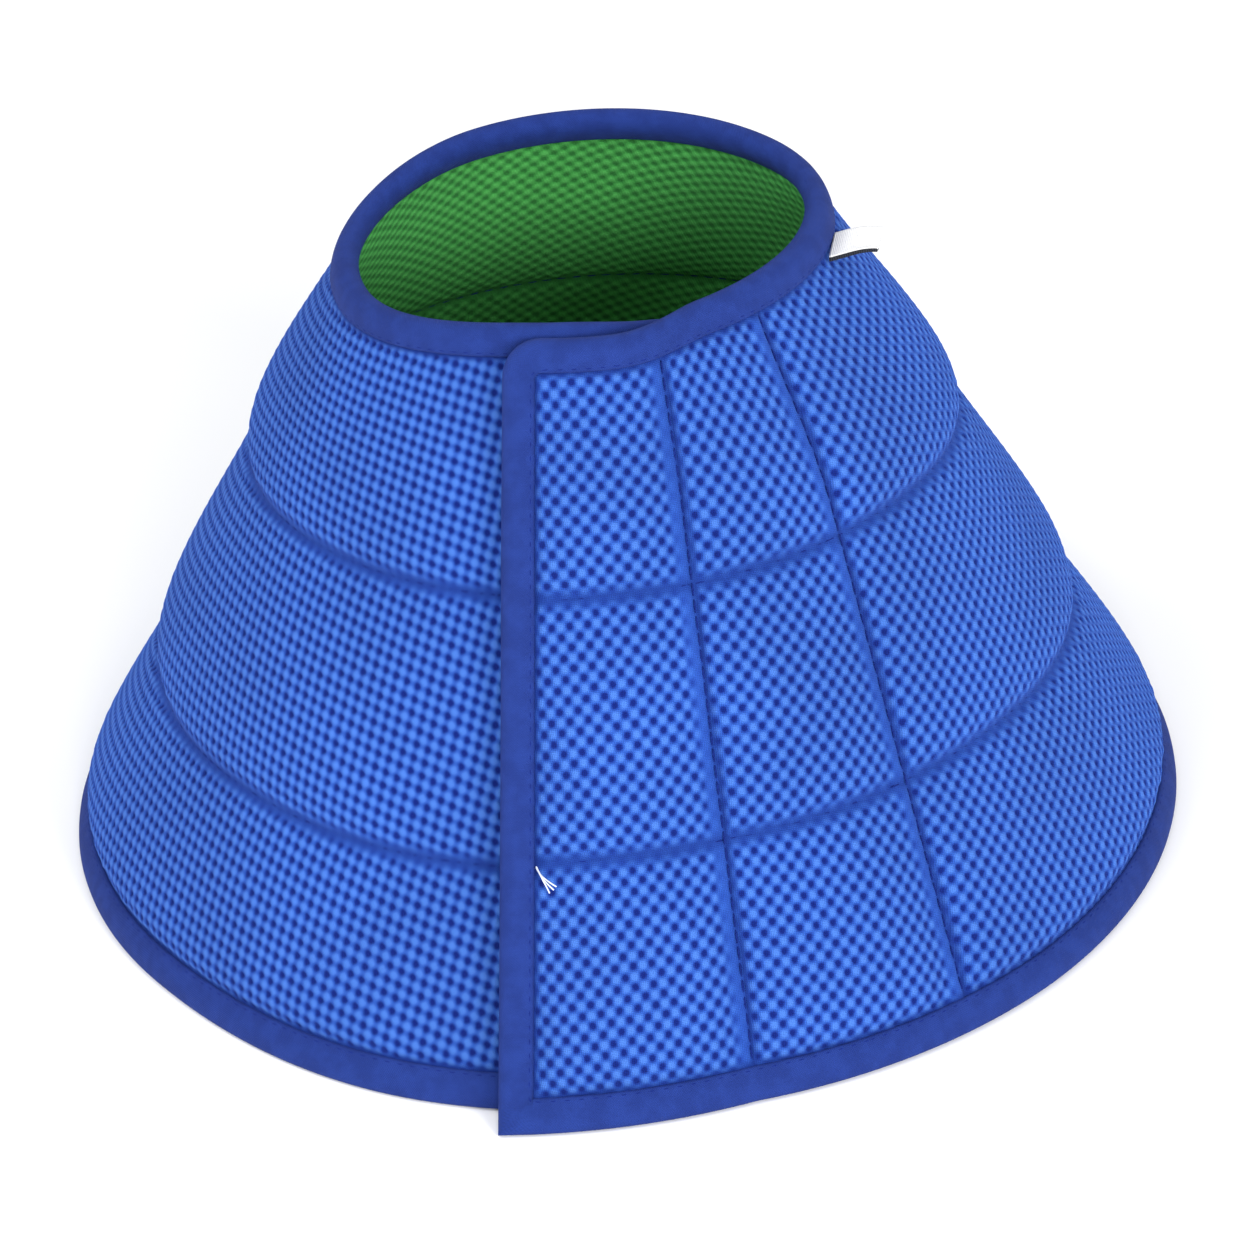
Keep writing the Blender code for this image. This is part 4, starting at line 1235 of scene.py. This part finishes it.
def satin_material():
    """Plain white satin ribbon with fine weft ribs."""
    nodes = Nodes("plain satin")
    flat, _, down = nodes.flat()
    fuzz = nodes.noise(flat, 2.5, 3.0)
    colour = nodes.ramp(fuzz, tuple(zip((0.3, 0.7), map(linear, SATIN_COLOURS))))
    height = nodes.plus(nodes.times(nodes.wave(down, 0.4), 0.5), fuzz)
    return nodes.finish(colour, 0.42, height, (0.00008, 1.0), specular=0.5)


def backing_material():
    """Dark woven backing of the label."""
    nodes = Nodes("dark woven backing")
    flat, across, down = nodes.flat()
    fuzz = nodes.noise(flat, 3.0, 3.0)
    weave = nodes.plus(nodes.times(nodes.weave(across, down, (0.5, 0.5)), 0.5), fuzz)
    colour = nodes.ramp(nodes.remap(weave, 0.0, 1.2), tuple(zip((0.2, 0.9), map(linear, BACKING_COLOURS))))
    return nodes.finish(colour, 0.8, weave, (0.0001, 1.0), 0.1)


def floor_material():
    nodes = Nodes("pale floor")
    grain = nodes.noise(nodes.object_place(), 3.0, 2.0)
    colour = nodes.ramp(grain, tuple(zip((0.3, 0.7), FLOOR_LINEAR)))
    return nodes.finish(colour, 0.9, grain, (0.0001, 0.1), specular=0.1)


def build_materials():
    return {
        "mesh": knit_material("blue air mesh", BLUE_KNIT, 0.25),
        "lining": knit_material("green mesh", GREEN_KNIT, 0.08),
        "tape": tape_material(),
        "thread": thread_material("dark blue thread", THREAD_COLOUR),
        "pale_thread": thread_material("pale thread", PALE_THREAD_COLOUR),
        "wadding": wadding_material(),
        "hook": nap_material("hook tape", HOOK_COLOURS, 1.2),
        "loop": nap_material("loop tape", LOOP_COLOURS, 0.9),
        "satin": satin_material(),
        "backing": backing_material(),
    }


# ---- Stage ----

def build_stage():
    """Plain pale floor and a plain pale world."""
    corners = [(x * FLOOR_HALF, y * FLOOR_HALF, 0.0) for x, y in ((-1, -1), (1, -1), (1, 1), (-1, 1))]
    mesh = bpy.data.meshes.new("floor")
    mesh.from_pydata(corners, [], [(0, 1, 2, 3)])
    floor = add_piece("floor", mesh, floor_material())
    floor.location.z = CAD_BOX[0][2] - FLOOR_DROP
    world = bpy.data.worlds.new("studio")
    world.use_nodes = True
    background = world.node_tree.nodes["Background"]
    background.inputs["Color"].default_value = WORLD_COLOUR
    background.inputs["Strength"].default_value = WORLD_STRENGTH
    bpy.context.scene.world = world


def build_lights():
    for name, place, target, size, power, colour in LIGHTS:
        light = bpy.data.lights.new(name, "AREA")
        light.shape = "DISK"
        light.size = size
        light.energy = power
        light.color = colour
        lamp = bpy.data.objects.new(name, light)
        lamp.location = place
        lamp.rotation_euler = (Vector(place) - Vector(target)).to_track_quat("Z", "Y").to_euler()
        bpy.context.scene.collection.objects.link(lamp)


def build_camera():
    """Camera at the photograph's viewing angle, turned a little so that the collar stands off centre."""
    elevation = math.radians(CAMERA_ELEVATION)
    roll = math.radians(CAMERA_ROLL)
    back = Vector((0.0, -math.cos(elevation), math.sin(elevation)))
    target = CAMERA_TARGET + Vector(SHIFT)
    place = target + back * CAMERA_DISTANCE
    right = Vector((1.0, 0.0, 0.0))
    up = back.cross(right)
    rolled_right = right * math.cos(roll) - up * math.sin(roll)
    rolled_up = right * math.sin(roll) + up * math.cos(roll)
    aim = target + rolled_right * FRAME_OFFSET[0] + rolled_up * FRAME_OFFSET[1]
    look = (place - aim).normalized()
    rolled_right = (rolled_right - look * rolled_right.dot(look)).normalized()
    rolled_up = look.cross(rolled_right)
    data = bpy.data.cameras.new("camera")
    data.lens = CAMERA_LENS
    data.sensor_width = CAMERA_SENSOR
    data.clip_start, data.clip_end = CAMERA_CLIP
    camera = bpy.data.objects.new("camera", data)
    turned = Matrix((rolled_right, rolled_up, look)).transposed().to_4x4()
    camera.matrix_world = Matrix.Translation(place) @ turned
    bpy.context.scene.collection.objects.link(camera)
    bpy.context.scene.camera = camera


def main():
    bpy.context.scene.view_settings.view_transform = "Standard"
    build_camera()
    build_stage()
    build_lights()
    materials = build_materials()
    build_cloth(materials)
    build_wadding(materials["wadding"])
    build_tape(materials["tape"])
    build_stitches(materials["thread"])
    build_tape_stitches(materials["thread"])
    build_closure(materials["hook"], materials["loop"])
    build_label(materials["satin"], materials["backing"])
    build_thread_tail(materials["pale_thread"])


main()
